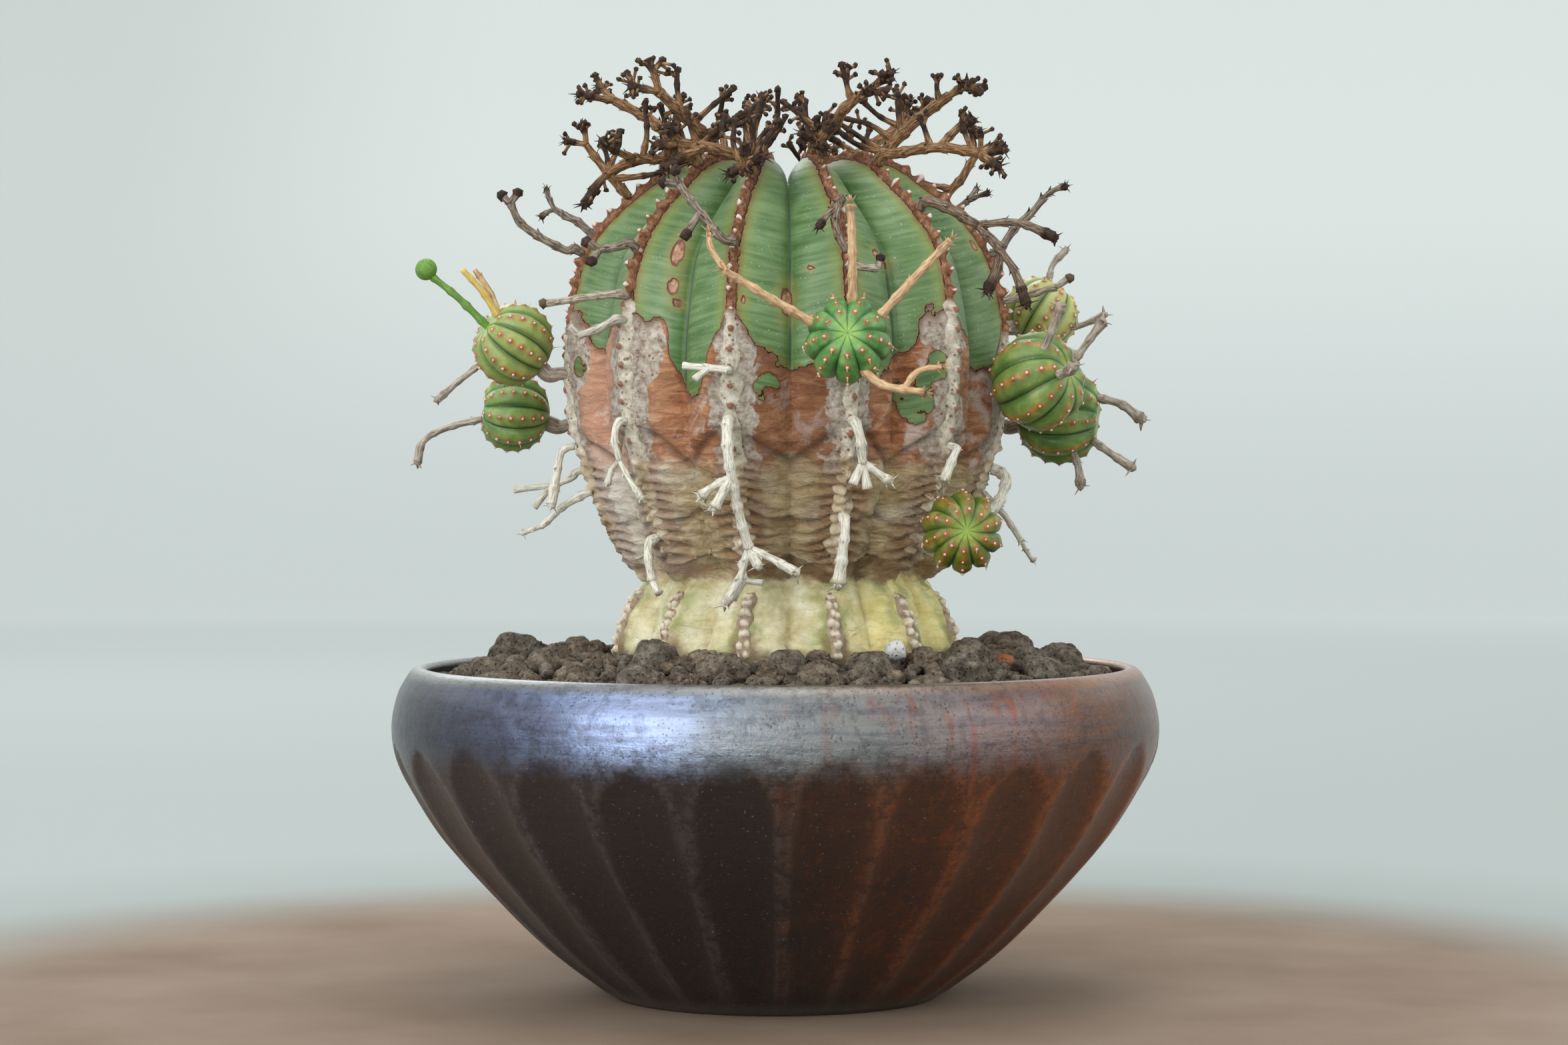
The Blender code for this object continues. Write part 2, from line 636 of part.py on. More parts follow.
def hand_stalk(margin, rib, spot, radius, steps, forks):
    """A stalk of the hand-placed list, as a root and its paths, the main one first."""
    root, normal = crest_root(margin, rib, spot)
    side, out = rib_axes(rib)

    def shift(step):
        return side * step[0] + out * step[1] + UP * step[2]

    nodes = [root + shift(step) for step in steps]
    main = from_root(root, normal) + nodes
    paths = [with_radii(main, radius, radius * 0.8)] if forks else [knobbed(main, radius)]
    for start, fork in forks:
        points = [nodes[start]] + [nodes[start] + shift(step) for step in fork]
        paths.append(knobbed(points, radius * 0.72))
    return root, paths


def swung(direction, away, about):
    """A direction swung away from itself by an angle, towards a heading round it."""
    aside = Quaternion(direction, math.radians(about)) @ direction.orthogonal().normalized()
    return (direction * math.cos(math.radians(away)) + aside * math.sin(math.radians(away)))


def grown_stalk(rng, root, normal, aim, length, radius, forks, twigs):
    """A stalk grown by rule: it leaves along the normal, bends to its aim and forks."""
    heading = (normal + aim).normalized()
    points = from_root(root, normal)
    for share in (0.4, 0.75, 1.0):
        wander = Vector([rng.uniform(-0.18, 0.18) for _ in range(3)])
        heading = (heading.lerp(aim, 0.7) + wander).normalized()
        points.append(points[-1] + heading * length * (0.4 if share < 0.5 else 0.3))
    paths = [with_radii(points, radius, radius * 0.75) if forks else knobbed(points, radius)]
    first = rng.uniform(0, 360)
    for number in range(forks):
        about = first + 360.0 * number / forks + rng.uniform(-25, 25)
        way = swung(heading, rng.uniform(28, 48), about)
        reach = length * rng.uniform(0.30, 0.48)
        start = points[-1] if number < 2 else points[-2]
        bent = (way + Vector([rng.uniform(-0.3, 0.3) for _ in range(3)])).normalized()
        limb = [start, start + way * reach * 0.55, start + way * reach * 0.55 + bent * reach * 0.45]
        paths.append(knobbed(limb, radius * 0.6))
        for _ in range(twigs):
            sprig = swung(bent, rng.uniform(45, 75), rng.uniform(0, 360))
            start_twig = limb[1].lerp(limb[2], rng.uniform(0.1, 0.7))
            tip = start_twig + sprig * rng.uniform(3.2, 4.6)
            paths.append(with_radii([start_twig, tip], radius * 0.42, radius * 0.5))
    return paths


def try_stalk(rng, room, owner, root, normal, aim_of, *habit):
    """Grow a stalk until one keeps clear of the rest, or give up."""
    for _ in range(TRIES):
        paths = grown_stalk(rng, root, normal, aim_of(rng), *habit)
        if all(room.free(owner, root, path) for path in paths):
            for path in paths:
                room.take(owner, path)
            return paths
    return []


def crown_stalks(rng, room, margin, bundles):
    """The thick forked stalks that stand up round the growing tip."""
    for spot, odd, length, radius, lean, forks in CROWN_RING:
        for rib in range(odd, RIBS, 2):
            root, normal = crest_root(margin, rib, spot)
            _, out = rib_axes(rib)

            def aim(draw, out=out, lean=lean):
                tilt = math.radians(lean + draw.uniform(-12, 14))
                return swung(UP * math.cos(tilt) + out * math.sin(tilt), draw.uniform(0, 12),
                             draw.uniform(0, 360))

            bundles[rib] += try_stalk(rng, room, f"rib_{rib}", root, normal, aim,
                                      length * rng.uniform(0.8, 1.05), radius, forks, 1)


def side_stalks(rng, room, margin, bundles):
    """Slimmer stalks down the ribs at the sides and back, thinning out downwards."""
    for level, (spot, length, radius, forks) in enumerate(SIDE_RINGS):
        for rib in BACK_RIBS:
            if (rib + level) % 2:
                continue
            place_at = spot + rng.uniform(-2.5, 2.5)
            root, normal = crest_root(margin, rib, place_at)
            droop = -0.25 * level + 0.35

            def aim(draw, normal=normal, droop=droop):
                sway = Vector([draw.uniform(-0.45, 0.45) for _ in range(3)])
                return (normal + sway + UP * droop).normalized()

            bundles[rib] += try_stalk(rng, room, f"rib_{rib}", root, normal, aim,
                                      length * rng.uniform(0.8, 1.15), radius, forks, 0)


def all_stalks(margin, room):
    """Every rib's paths, the hand-placed stalks first so that the grown ones keep clear."""
    rng = random.Random(SEED)
    bundles = {rib: [] for rib in range(RIBS)}
    for name, centre, radius, _, _, _, rib, height in PUPS:
        room.take(name, neck_path(margin, centre, radius, rib, height))
    for name, stalks in PUP_STALKS.items():
        for radius, points in stalks:
            room.take(name, [(Vector(p), radius) for p in points])
    for rib, spot, radius, steps, forks in STALKS:
        root, paths = hand_stalk(margin, rib, spot, radius, steps, forks)
        for path in paths:
            room.take(f"rib_{rib}", path)
        bundles[rib] += paths
    crown_stalks(rng, room, margin, bundles)
    side_stalks(rng, room, margin, bundles)
    return bundles


# Rib margins

def margin_height(station, rib, number):
    """Knob and saddle by turns along the margin, and low where an offset is rooted."""
    for _, centre, radius, _, _, _, pup_rib, _ in PUPS:
        if pup_rib == rib and abs(station.height - centre[2]) < radius + PUP_ROOM:
            return SADDLE
    return KNOB if number % 2 else SADDLE


def margin_section(station, rib, height):
    """Four points across the margin: a foot on each flank, the ridge, and the hollow under it
    that fits over the crest."""
    turn = rib_turn(rib)
    crest = station.point(turn)
    top = station.point(turn, lift=1.0) - crest
    feet = []
    for side in (-1, 1):
        flank = station.point(turn + side * 360.0 / STEM_SIDES) - crest
        reach = min(MARGIN_HALF, MARGIN_REACH * flank.length)
        along = flank.normalized()
        off = (top - along * top.dot(along)).normalized()
        feet.append(crest + along * reach + off * MARGIN_LIFT)
    return [feet[0], crest + top * height, feet[1], crest + top * (MARGIN_LIFT * 1.15)]


def make_margin(rib, margin, stalks):
    """A rib's corky margin with the stalks that grow from it, as one body."""
    sections = []
    for number, station in enumerate(margin):
        end = number in (0, len(margin) - 1)
        height = 0.9 if end else margin_height(station, rib, number)
        sections.append(margin_section(station, rib, height))
    body = loft(sections)
    parts = [tube(path, 4 if path[0][1] > THICK_STALK else 3) for path in stalks]
    return fuse(f"rib_edge_{rib + 1:02d}", body, parts, "cork")


# Offsets

def pup_globe(centre, radius, axis, ribs, twist):
    """A small ribbed globe: a half circle turned, pressed in between its ribs and twisted."""
    outline = []
    for number in range(PUP_RINGS + 1):
        angle = math.pi * number / PUP_RINGS
        dimple = 0.16 * max(0.0, math.cos(angle)) ** 8
        height = radius * PUP_FLATTEN * (math.cos(angle) - dimple)
        outline.append((radius * max(0.0, math.sin(angle)), height))
    outline[0] = (0.0, outline[0][1])
    outline[-1] = (0.0, outline[-1][1])
    bm, mark = turned(outline, 2 * ribs, closed=False)
    for vert in bm.verts:
        number = vert[mark]
        if 0 < number < PUP_RINGS:
            reach, height = outline[number]
            turn = turn_of(vert.co)
            valley = round(turn * ribs / 180.0) % 2
            reach *= 1.0 - PUP_VALLEY * valley
            vert.co = at_turn(reach, height, turn + twist * (number / PUP_RINGS - 0.5))
    facing = Vector(axis).to_track_quat("Z", "Y").to_matrix().to_4x4()
    bm.transform(Matrix.Translation(Vector(centre)) @ facing)
    bmesh.ops.recalc_face_normals(bm, faces=bm.faces)
    return bm


def make_pup(margin, name, centre, radius, axis, ribs, twist, rib, height):
    """An offset with its neck and its own dried stalks, as one body."""
    globe = pup_globe(centre, radius, axis, ribs, twist)
    parts = [tube(neck_path(margin, centre, radius, rib, height), 6)]
    for thick, points in PUP_STALKS[name]:
        parts.append(tube(knobbed([Vector(p) for p in points], thick), 4))
    if name == "pup_left_upper":
        pod = bmesh.new()
        bmesh.ops.create_icosphere(pod, subdivisions=1, radius=SEED_POD_RADIUS,
                                   matrix=Matrix.Translation(SEED_POD))
        parts.append(pod)
    return fuse(name, globe, parts, "pup", smooth=40)


# Soil

def soil_outline():
    """The soil's outline: up inside the bowl, over the mound and down round the root."""
    inside = [(r - SOIL_CLEAR, z + SOIL_CLEAR) for r, z in BOWL_INSIDE[:1:-1]]
    bottom = FLOOR_TOP + GAP + NET_THICK + GAP
    lined = [(0.0, bottom), (28.0, bottom)] + inside
    pit = [(ROOT[0][0] + PIT_CLEAR, PIT_RIM)]
    pit += [(r + PIT_CLEAR, z - PIT_CLEAR) for r, z in ROOT[1:-1]]
    return lined + [SOIL_EDGE] + SOIL_MOUND + pit + [(0.0, ROOT[-1][1] - PIT_CLEAR)]


def soil_height(radius):
    """The mound's height at a distance from the bowl's axis."""
    slope = [(ROOT[0][0], PIT_RIM)] + SOIL_MOUND[::-1] + [SOIL_EDGE]
    return mix(slope, radius)


def grit_grain(rng, middle, radius):
    """A rough grain: a squashed icosphere with its corners moved."""
    bm = bmesh.new()
    bmesh.ops.create_icosphere(bm, subdivisions=1, radius=radius)
    for vert in bm.verts:
        vert.co *= rng.uniform(0.82, 1.12)
    squash = Matrix.Diagonal((1.0, rng.uniform(0.75, 1.0), rng.uniform(0.65, 0.9), 1.0))
    spin = Matrix.Rotation(rng.uniform(0, math.tau), 4, "Z")
    tip = Matrix.Rotation(rng.uniform(-0.5, 0.5), 4, "X")
    bm.transform(Matrix.Translation(middle) @ spin @ tip @ squash)
    return bm


def make_soil():
    """The soil with the root's pit in it, and its larger grains set into the mound."""
    rng = random.Random(SEED + 1)
    outline = soil_outline()
    body, mark = turned(outline, SOIL_SIDES, closed=False)
    edge = outline.index(SOIL_EDGE)
    for vert in body.verts:
        number = vert[mark]
        if edge < number <= edge + len(SOIL_MOUND):
            vert.co += Vector([rng.uniform(-SOIL_ROUGH, SOIL_ROUGH) for _ in range(3)])
        elif number > edge:
            vert.co.x += STEM_X
    bmesh.ops.recalc_face_normals(body, faces=body.faces)
    golden = 180.0 * (3.0 - math.sqrt(5.0))
    grains = []
    inner, outer = GRIT_RING
    for number in range(GRIT_GRAINS):
        share = (number + 0.5) / GRIT_GRAINS
        reach = math.sqrt(inner ** 2 + (outer ** 2 - inner ** 2) * share)
        radius = rng.uniform(*GRIT_RADIUS)
        middle = at_turn(reach, soil_height(reach) + 0.12 * radius, golden * number)
        middle.x += STEM_X * (outer - reach) / (outer - inner)
        grains.append(grit_grain(rng, middle, radius))
    return fuse("soil", body, grains, "grit")


def main():
    """Build the bowl, its filling and the plant."""
    clear_scene()
    stations, margin = all_stations()
    make_bowl()
    make_net()
    make_soil()
    make_stem(stations)
    stalks = all_stalks(margin, Room(stations))
    for rib in range(RIBS):
        make_margin(rib, margin, stalks[rib])
    for pup in PUPS:
        make_pup(margin, *pup)


main()
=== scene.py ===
# %% [markdown]
# # Dressing a potted euphorbia
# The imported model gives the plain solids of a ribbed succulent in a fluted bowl. This lesson
# puts a finer piece over each of them: skin, cork, stalks, offsets, grit and glaze. Every piece
# repeats the named sizes of its solid, so it lies exactly where the solid is.

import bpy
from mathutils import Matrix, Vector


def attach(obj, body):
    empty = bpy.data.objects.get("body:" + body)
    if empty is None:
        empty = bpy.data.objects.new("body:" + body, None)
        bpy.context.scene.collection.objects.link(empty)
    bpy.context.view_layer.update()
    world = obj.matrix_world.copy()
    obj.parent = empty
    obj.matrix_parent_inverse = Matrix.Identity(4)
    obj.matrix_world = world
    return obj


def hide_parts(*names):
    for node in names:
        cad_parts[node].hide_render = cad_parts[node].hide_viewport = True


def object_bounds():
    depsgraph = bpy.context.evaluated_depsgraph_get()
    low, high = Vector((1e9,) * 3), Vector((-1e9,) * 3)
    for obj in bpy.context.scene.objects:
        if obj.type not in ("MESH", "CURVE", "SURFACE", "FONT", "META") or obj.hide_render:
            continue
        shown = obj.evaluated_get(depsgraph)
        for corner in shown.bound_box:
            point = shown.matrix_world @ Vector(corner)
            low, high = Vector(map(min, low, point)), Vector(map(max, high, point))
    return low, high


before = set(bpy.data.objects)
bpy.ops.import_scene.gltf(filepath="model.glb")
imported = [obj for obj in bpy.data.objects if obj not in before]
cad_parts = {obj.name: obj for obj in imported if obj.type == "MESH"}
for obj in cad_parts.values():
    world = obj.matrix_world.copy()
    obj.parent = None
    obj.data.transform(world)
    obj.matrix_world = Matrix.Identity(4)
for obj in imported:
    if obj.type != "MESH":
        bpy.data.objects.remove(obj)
cad_bounds = [list(corner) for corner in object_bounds()]
print("solids:", sorted(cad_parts))

# %% [markdown]
# ## Units and small helpers
# The plant is easiest to think about in millimetres, and Blender works in metres. So each mesh
# is made in millimetres and scaled once, when it becomes an object. A turn is an angle in
# degrees round +Z, counted from the front (-Y) and growing towards +X.

# %% Helpers for places, colours and tables
import math
import random

import bmesh
import bpy
from mathutils import Matrix, Quaternion, Vector, noise

MM = 0.001
UP = Vector((0.0, 0.0, 1.0))
TOP_MM = cad_bounds[1][2] / MM


def tone(red, green, blue):
    """A colour as a picture shows it (0 to 255), in the linear values that shaders take."""
    shares = [part / 255.0 for part in (red, green, blue)]
    linear = [s / 12.92 if s < 0.04 else ((s + 0.055) / 1.055) ** 2.4 for s in shares]
    return (*linear, 1.0)


def mix(table, at):
    """Read a table of (place, value) at a place, straight between its rows."""
    if at <= table[0][0]:
        return table[0][1]
    for (low, first), (high, second) in zip(table, table[1:]):
        if at <= high:
            return first + (second - first) * (at - low) / (high - low)
    return table[-1][1]


def fade(low, high, at):
    """0 below low, 1 above high and a smooth rise between (or a fall, if low is the larger)."""
    share = min(1.0, max(0.0, (at - low) / (high - low)))
    return share * share * (3.0 - 2.0 * share)


def bell(at, middle, width):
    """A bell curve: 1 at its middle and near 0 two widths away."""
    return math.exp(-((at - middle) / width) ** 2)


def at_turn(radius, height, turn):
    """The point at a radius, height and turn round +Z."""
    angle = math.radians(turn)
    return Vector((radius * math.sin(angle), -radius * math.cos(angle), height))


def turn_of(point):
    """A point's turn round +Z in degrees."""
    return math.degrees(math.atan2(point.x, -point.y))


def facing(way):
    """The matrix that turns +Z to point along a way."""
    return Vector(way).to_track_quat("Z", "Y").to_matrix().to_4x4()


def jitter(rng, reach):
    """A random step of up to a reach along each axis."""
    return Vector([rng.uniform(-reach, reach) for _ in range(3)])


def rough_at(point, size, seed=0.0):
    """Smooth noise from about -1 to 1 whose lumps are about a size across."""
    return 1.6 * noise.noise(point / size + Vector((seed, 2.0 * seed, -seed)))


# %% [markdown]
# ## Camera, backdrop and light
# The photograph looks almost level at the plant, from a little under 0.9 m, with a long lens, so
# the bowl's rim is a thin ellipse. The backdrop is a shallow round studio bowl: a floor that is
# warm near the plant, turns pale and curves up into a wall, the same from every side.

# %% Camera
CAMERA_PLACE = (0.0019, -0.874, 0.1193)
CAMERA_AIM = (0.0019, 0.0, 0.1053)
CAMERA_LENS = 90.0
CAMERA_SENSOR = 36.0


def link(item):
    """Add an object to the scene."""
    bpy.context.scene.collection.objects.link(item)
    return item


def aimed(item, place, aim):
    """Put a camera or a lamp at a place, looking at another."""
    item.location = place
    ahead = Vector(aim) - Vector(place)
    item.rotation_euler = ahead.to_track_quat("-Z", "Y").to_euler()
    return item


lens = bpy.data.cameras.new("camera")
lens.lens = CAMERA_LENS
lens.sensor_width = CAMERA_SENSOR
lens.clip_end = 20.0
bpy.context.scene.camera = aimed(link(bpy.data.objects.new("camera", lens)),
                                 CAMERA_PLACE, CAMERA_AIM)
bpy.context.scene.view_settings.view_transform = "Standard"
bpy.context.scene.view_settings.look = "None"

# %% Soft lamps and a pale sky
LAMPS = [
    ("key_front_left", (-0.95, -1.05, 0.95), 1.3, 9.0, (0.92, 0.96, 1.00)),
    ("front_low", (-0.55, -1.3, 0.42), 0.8, 6.0, (1.00, 0.98, 0.95)),
    ("sky_above", (0.05, -0.2, 1.5), 1.1, 7.0, (0.96, 0.98, 1.00)),
    ("warm_right", (1.25, -0.6, 0.6), 0.7, 2.0, (1.00, 0.93, 0.86)),
    ("back_soft", (-0.35, 1.2, 1.00), 0.9, 6.0, (0.97, 0.99, 1.00)),
]
PLANT_MIDDLE = (0.0, 0.0, 0.11)

for name, place, width, power, colour in LAMPS:
    lamp = bpy.data.lights.new(name, "AREA")
    lamp.shape = "DISK"
    lamp.size = width
    lamp.energy = power
    lamp.color = colour
    aimed(link(bpy.data.objects.new(name, lamp)), place, PLANT_MIDDLE)

world = bpy.data.worlds.new("pale_sky")
bpy.context.scene.world = world
world.use_nodes = True
sky = world.node_tree.nodes["Background"]
sky.inputs["Color"].default_value = (0.8, 0.87, 0.86, 1.0)
sky.inputs["Strength"].default_value = 0.8

# %% [markdown]
# ## A small kit for finishes
# A finish here is a Principled shader fed by noise, ramps and the piece's own attributes. The
# class below only shortens the node calls, so that each finish reads from top to bottom like a
# recipe: where the pattern comes from, which tones it picks, and how rough it feels.

class Finish:
    """A Principled material under construction. Each call adds one node and returns its output."""

    def __init__(self, name, roughness=0.6, specular=0.5):
        self.material = bpy.data.materials.new(name)
        self.material.use_nodes = True
        self.nodes = self.material.node_tree.nodes
        self.links = self.material.node_tree.links
        self.shader = self.nodes["Principled BSDF"]
        self.fill(self.shader, Roughness=roughness, Specular_IOR_Level=specular)
        self.place = self.add("ShaderNodeTexCoord").outputs["Object"]

    def add(self, kind, **settings):
        """A new node with its plain settings."""
        node = self.nodes.new(kind)
        for key, value in settings.items():
            setattr(node, key, value)
        return node

    def feed(self, socket, value):
        """Link an output to a socket, or set the socket to a number or a colour."""
        if isinstance(value, bpy.types.NodeSocket):
            self.links.new(value, socket)
        else:
            socket.default_value = value

    def fill(self, node, **values):
        """Feed inputs by their names, with _ for a blank, and return the node."""
        for name, value in values.items():
            self.feed(node.inputs[name.replace("_", " ")], value)
        return node

    def stretched(self, *scale):
        """Object coordinates scaled by a number for each axis, to stretch a pattern."""
        node = self.fill(self.add("ShaderNodeMapping"), Vector=self.place, Scale=scale)
        return node.outputs["Vector"]

    def noise(self, size_mm, detail=4.0, rough=0.55, place=None, twist=0.0):
        """Cloudy noise whose lumps are about a size across, from 0 to 1."""
        node = self.fill(self.add("ShaderNodeTexNoise"), Vector=place or self.place,
                         Scale=1.0 / (size_mm * MM), Detail=detail, Roughness=rough,
                         Distortion=twist)
        return node.outputs["Fac"]

    def cells(self, size_mm):
        """Distances from scattered points about a size apart."""
        node = self.fill(self.add("ShaderNodeTexVoronoi"), Vector=self.place,
                         Scale=1.0 / (size_mm * MM))
        return node.outputs["Distance"]

    def axes(self):
        """The X, Y and Z of object coordinates, as the outputs of one node."""
        node = self.add("ShaderNodeSeparateXYZ")
        self.feed(node.inputs[0], self.place)
        return node.outputs

    def attribute(self, name):
        """A number that the mesh carries at each vertex."""
        return self.add("ShaderNodeAttribute", attribute_name=name).outputs["Fac"]

    def sums(self, operation, first, second=0.0, third=None, clamp=False):
        """A Math node."""
        node = self.add("ShaderNodeMath", operation=operation, use_clamp=clamp)
        self.feed(node.inputs[0], first)
        self.feed(node.inputs[1], second)
        if third is not None:
            self.feed(node.inputs[2], third)
        return node.outputs[0]

    def times(self, first, second):
        """Two values multiplied."""
        return self.sums("MULTIPLY", first, second)

    def plus(self, first, second):
        """Two values added."""
        return self.sums("ADD", first, second)

    def scaled(self, value, factor, shift):
        """A value times a factor, plus a shift."""
        return self.sums("MULTIPLY_ADD", value, factor, shift)

    def rest_of(self, value):
        """One minus a value."""
        return self.sums("SUBTRACT", 1.0, value)

    def step(self, value, low, high, smooth=True):
        """0 below low, 1 above high, smooth between (or falling, if low is the larger)."""
        node = self.add("ShaderNodeMapRange",
                        interpolation_type="SMOOTHSTEP" if smooth else "LINEAR")
        falling = float(low > high)
        self.fill(node, Value=value, From_Min=min(low, high), From_Max=max(low, high),
                  To_Min=falling, To_Max=1.0 - falling)
        return node.outputs["Result"]

    def tones(self, value, stops):
        """A colour ramp: stops are (place, red, green, blue)."""
        node = self.add("ShaderNodeValToRGB")
        ramp = node.color_ramp
        for element, (place, *colour) in zip(ramp.elements, (stops[0], stops[-1])):
            element.position = place
            element.color = tone(*colour)
        for place, *colour in stops[1:-1]:
            ramp.elements.new(place).color = tone(*colour)
        return self.fill(node, Fac=value).outputs["Color"]

    def blend(self, first, second, share, kind="RGBA"):
        """Two colours mixed by a share, or two numbers if the kind is FLOAT."""
        node = self.add("ShaderNodeMix", data_type=kind)
        return self.fill(node, Factor=share, A=first, B=second).outputs["Result"]

    def tint(self, under, over, mask, share):
        """A colour laid over another where a mask is, at a share of its strength."""
        return self.blend(under, over, self.times(mask, share))

    def colour(self, value):
        self.feed(self.shader.inputs["Base Color"], value)

    def roughness(self, value):
        self.feed(self.shader.inputs["Roughness"], value)

    def bumps(self, *layers):
        """Relief from (height, millimetres) layers, one Bump node on the last."""
        normal = None
        for height, depth in layers:
            node = self.fill(self.add("ShaderNodeBump"), Strength=1.0, Distance=depth * MM,
                             Height=height)
            if normal:
                self.fill(node, Normal=normal)
            normal = node.outputs["Normal"]
        self.feed(self.shader.inputs["Normal"], normal)


# %% Floor and wall
FLOOR_RADIUS = 2.2
WALL_BEND = 0.7
WALL_TOP = 1.8
BEND_STEPS = 10
ROOM_STEPS = 96
FLOOR_WARM = 0.16
FLOOR_PALE = 0.26


def make_backdrop():
    """Turn a line that runs out over the floor, bends and climbs the wall."""
    bm = bmesh.new()
    line = [Vector((0.0, 0.0, 0.0)), Vector((FLOOR_RADIUS, 0.0, 0.0))]
    for number in range(1, BEND_STEPS + 1):
        angle = math.pi / 2 * number / BEND_STEPS
        line.append(Vector((FLOOR_RADIUS + WALL_BEND * math.sin(angle), 0.0,
                            WALL_BEND * (1.0 - math.cos(angle)))))
    line.append(Vector((FLOOR_RADIUS + WALL_BEND, 0.0, WALL_TOP)))
    verts = [bm.verts.new(point) for point in line]
    edges = [bm.edges.new(pair) for pair in zip(verts, verts[1:])]
    bmesh.ops.spin(bm, geom=verts + edges, cent=(0, 0, 0), axis=UP, angle=math.tau,
                   steps=ROOM_STEPS, use_merge=True)
    bmesh.ops.remove_doubles(bm, verts=bm.verts, dist=0.0001)
    mesh = bpy.data.meshes.new("backdrop")
    bm.to_mesh(mesh)
    bm.free()
    mesh.shade_smooth()
    paint = Finish("pale_wall", roughness=0.9, specular=0.1)
    axis = paint.axes()
    away = paint.plus(paint.times(axis["X"], axis["X"]), paint.times(axis["Y"], axis["Y"]))
    cloud = paint.noise(60.0, detail=5.0)
    warm = paint.tones(cloud, [(0.3, 126, 106, 91), (0.7, 144, 125, 110)])
    floor = paint.blend(warm, tone(158, 163, 161),
                        paint.step(away, FLOOR_WARM ** 2, FLOOR_PALE ** 2))
    climbed = paint.step(axis["Z"], 0.02, 0.4)
    paint.colour(paint.blend(floor, tone(197, 200, 197), climbed))
    # Painted light: the backdrop glows. The glow is nil by the plant, grows over the far floor and
    # the low wall, is weaker on the left wall, and is strongest high on the wall, out of view,
    # where the glaze reflects it as a band.
    paint.fill(paint.shader, Emission_Color=tone(238, 244, 245))
    near = paint.times(paint.step(away, 0.05, 0.12), 0.07)
    far = paint.step(away, 0.3, 4.5, smooth=False)
    left = paint.times(paint.step(axis["X"], -0.25, -0.65), climbed)
    low_wall = paint.scaled(climbed, -0.06, 0.26)
    low_wall = paint.scaled(left, -0.12, low_wall)
    high_wall = paint.times(paint.step(axis["Z"], 0.75, 1.3), 1.1)
    painted_glow = paint.plus(paint.scaled(far, low_wall, near), high_wall)
    paint.fill(paint.shader, Emission_Strength=painted_glow)
    mesh.materials.append(paint.material)
    return link(bpy.data.objects.new("backdrop", mesh))


make_backdrop()
print("camera, backdrop and", len(LAMPS), "lamps are in place")

# %% [markdown]
# ## From a bmesh to a piece
# Every turned form on this plant starts as an outline that is spun round +Z. The spin leaves
# copies where the ring closes and at the poles, so the doubles are merged and the normals made
# to point outwards before anything else. A hidden integer on each vertex remembers which point
# of the outline it came from, and later steps use it to move whole rings by a rule.

# %% Spinning outlines and finishing pieces
def turned(outline, steps, closed, start=0.0):
    """Spin an outline of (radius, height) round +Z; each vertex remembers its outline point."""
    bm = bmesh.new()
    mark = bm.verts.layers.int.new("outline")
    verts = []
    for number, (radius, height) in enumerate(outline):
        verts.append(bm.verts.new(at_turn(radius, height, start)))
        verts[-1][mark] = number
    edges = [bm.edges.new(pair) for pair in zip(verts, verts[1:])]
    if closed:
        edges.append(bm.edges.new((verts[-1], verts[0])))
    bmesh.ops.spin(bm, geom=verts + edges, cent=(0, 0, 0), axis=UP, angle=math.tau,
                   steps=steps, use_merge=True)
    bmesh.ops.remove_doubles(bm, verts=bm.verts, dist=0.0001)
    return bm, mark


def curve_through(points, step):
    """Points about a step apart along a smooth curve through the given ones."""
    knots = [Vector(p) for p in points]
    knots = [2 * knots[0] - knots[1]] + knots + [2 * knots[-1] - knots[-2]]
    fine = []
    for a, b, c, d in zip(knots, knots[1:], knots[2:], knots[3:]):
        for part in range(16):
            t = part / 16
            fine.append(0.5 * (2 * b + (c - a) * t + (2 * a - 5 * b + 4 * c - d) * t * t
                               + (3 * b - a - 3 * c + d) * t ** 3))
    fine.append(knots[-2])
    lengths = [0.0]
    for a, b in zip(fine, fine[1:]):
        lengths.append(lengths[-1] + (b - a).length)
    count = max(1, round(lengths[-1] / step))
    taken = []
    index = 0
    for number in range(count + 1):
        goal = lengths[-1] * number / count
        while index < len(fine) - 2 and lengths[index + 1] < goal:
            index += 1
        share = (goal - lengths[index]) / (lengths[index + 1] - lengths[index])
        taken.append(fine[index].lerp(fine[index + 1], share))
    return taken


def stored(mesh, values):
    """Keep numbers on a mesh's vertices, for its finish to read: {name: list}."""
    for name, numbers in values.items():
        layer = mesh.attributes.new(name, "FLOAT", "POINT")
        layer.data.foreach_set("value", numbers)


def as_piece(name, bm, finish, nodes, values=None):
    """Turn a bmesh in millimetres into a smooth piece that stands for solids of the frame."""
    bmesh.ops.recalc_face_normals(bm, faces=bm.faces)
    bmesh.ops.scale(bm, vec=(MM, MM, MM), verts=bm.verts)
    mesh = bpy.data.meshes.new(name)
    bm.to_mesh(mesh)
    bm.free()
    mesh.shade_smooth()
    if values:
        stored(mesh, values)
    mesh.materials.append(finish.material)
    piece = link(bpy.data.objects.new(name, mesh))
    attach(piece, "root")
    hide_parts(*nodes)
    print(name, "has", sum(len(face.vertices) - 2 for face in mesh.polygons), "triangles")
    return piece
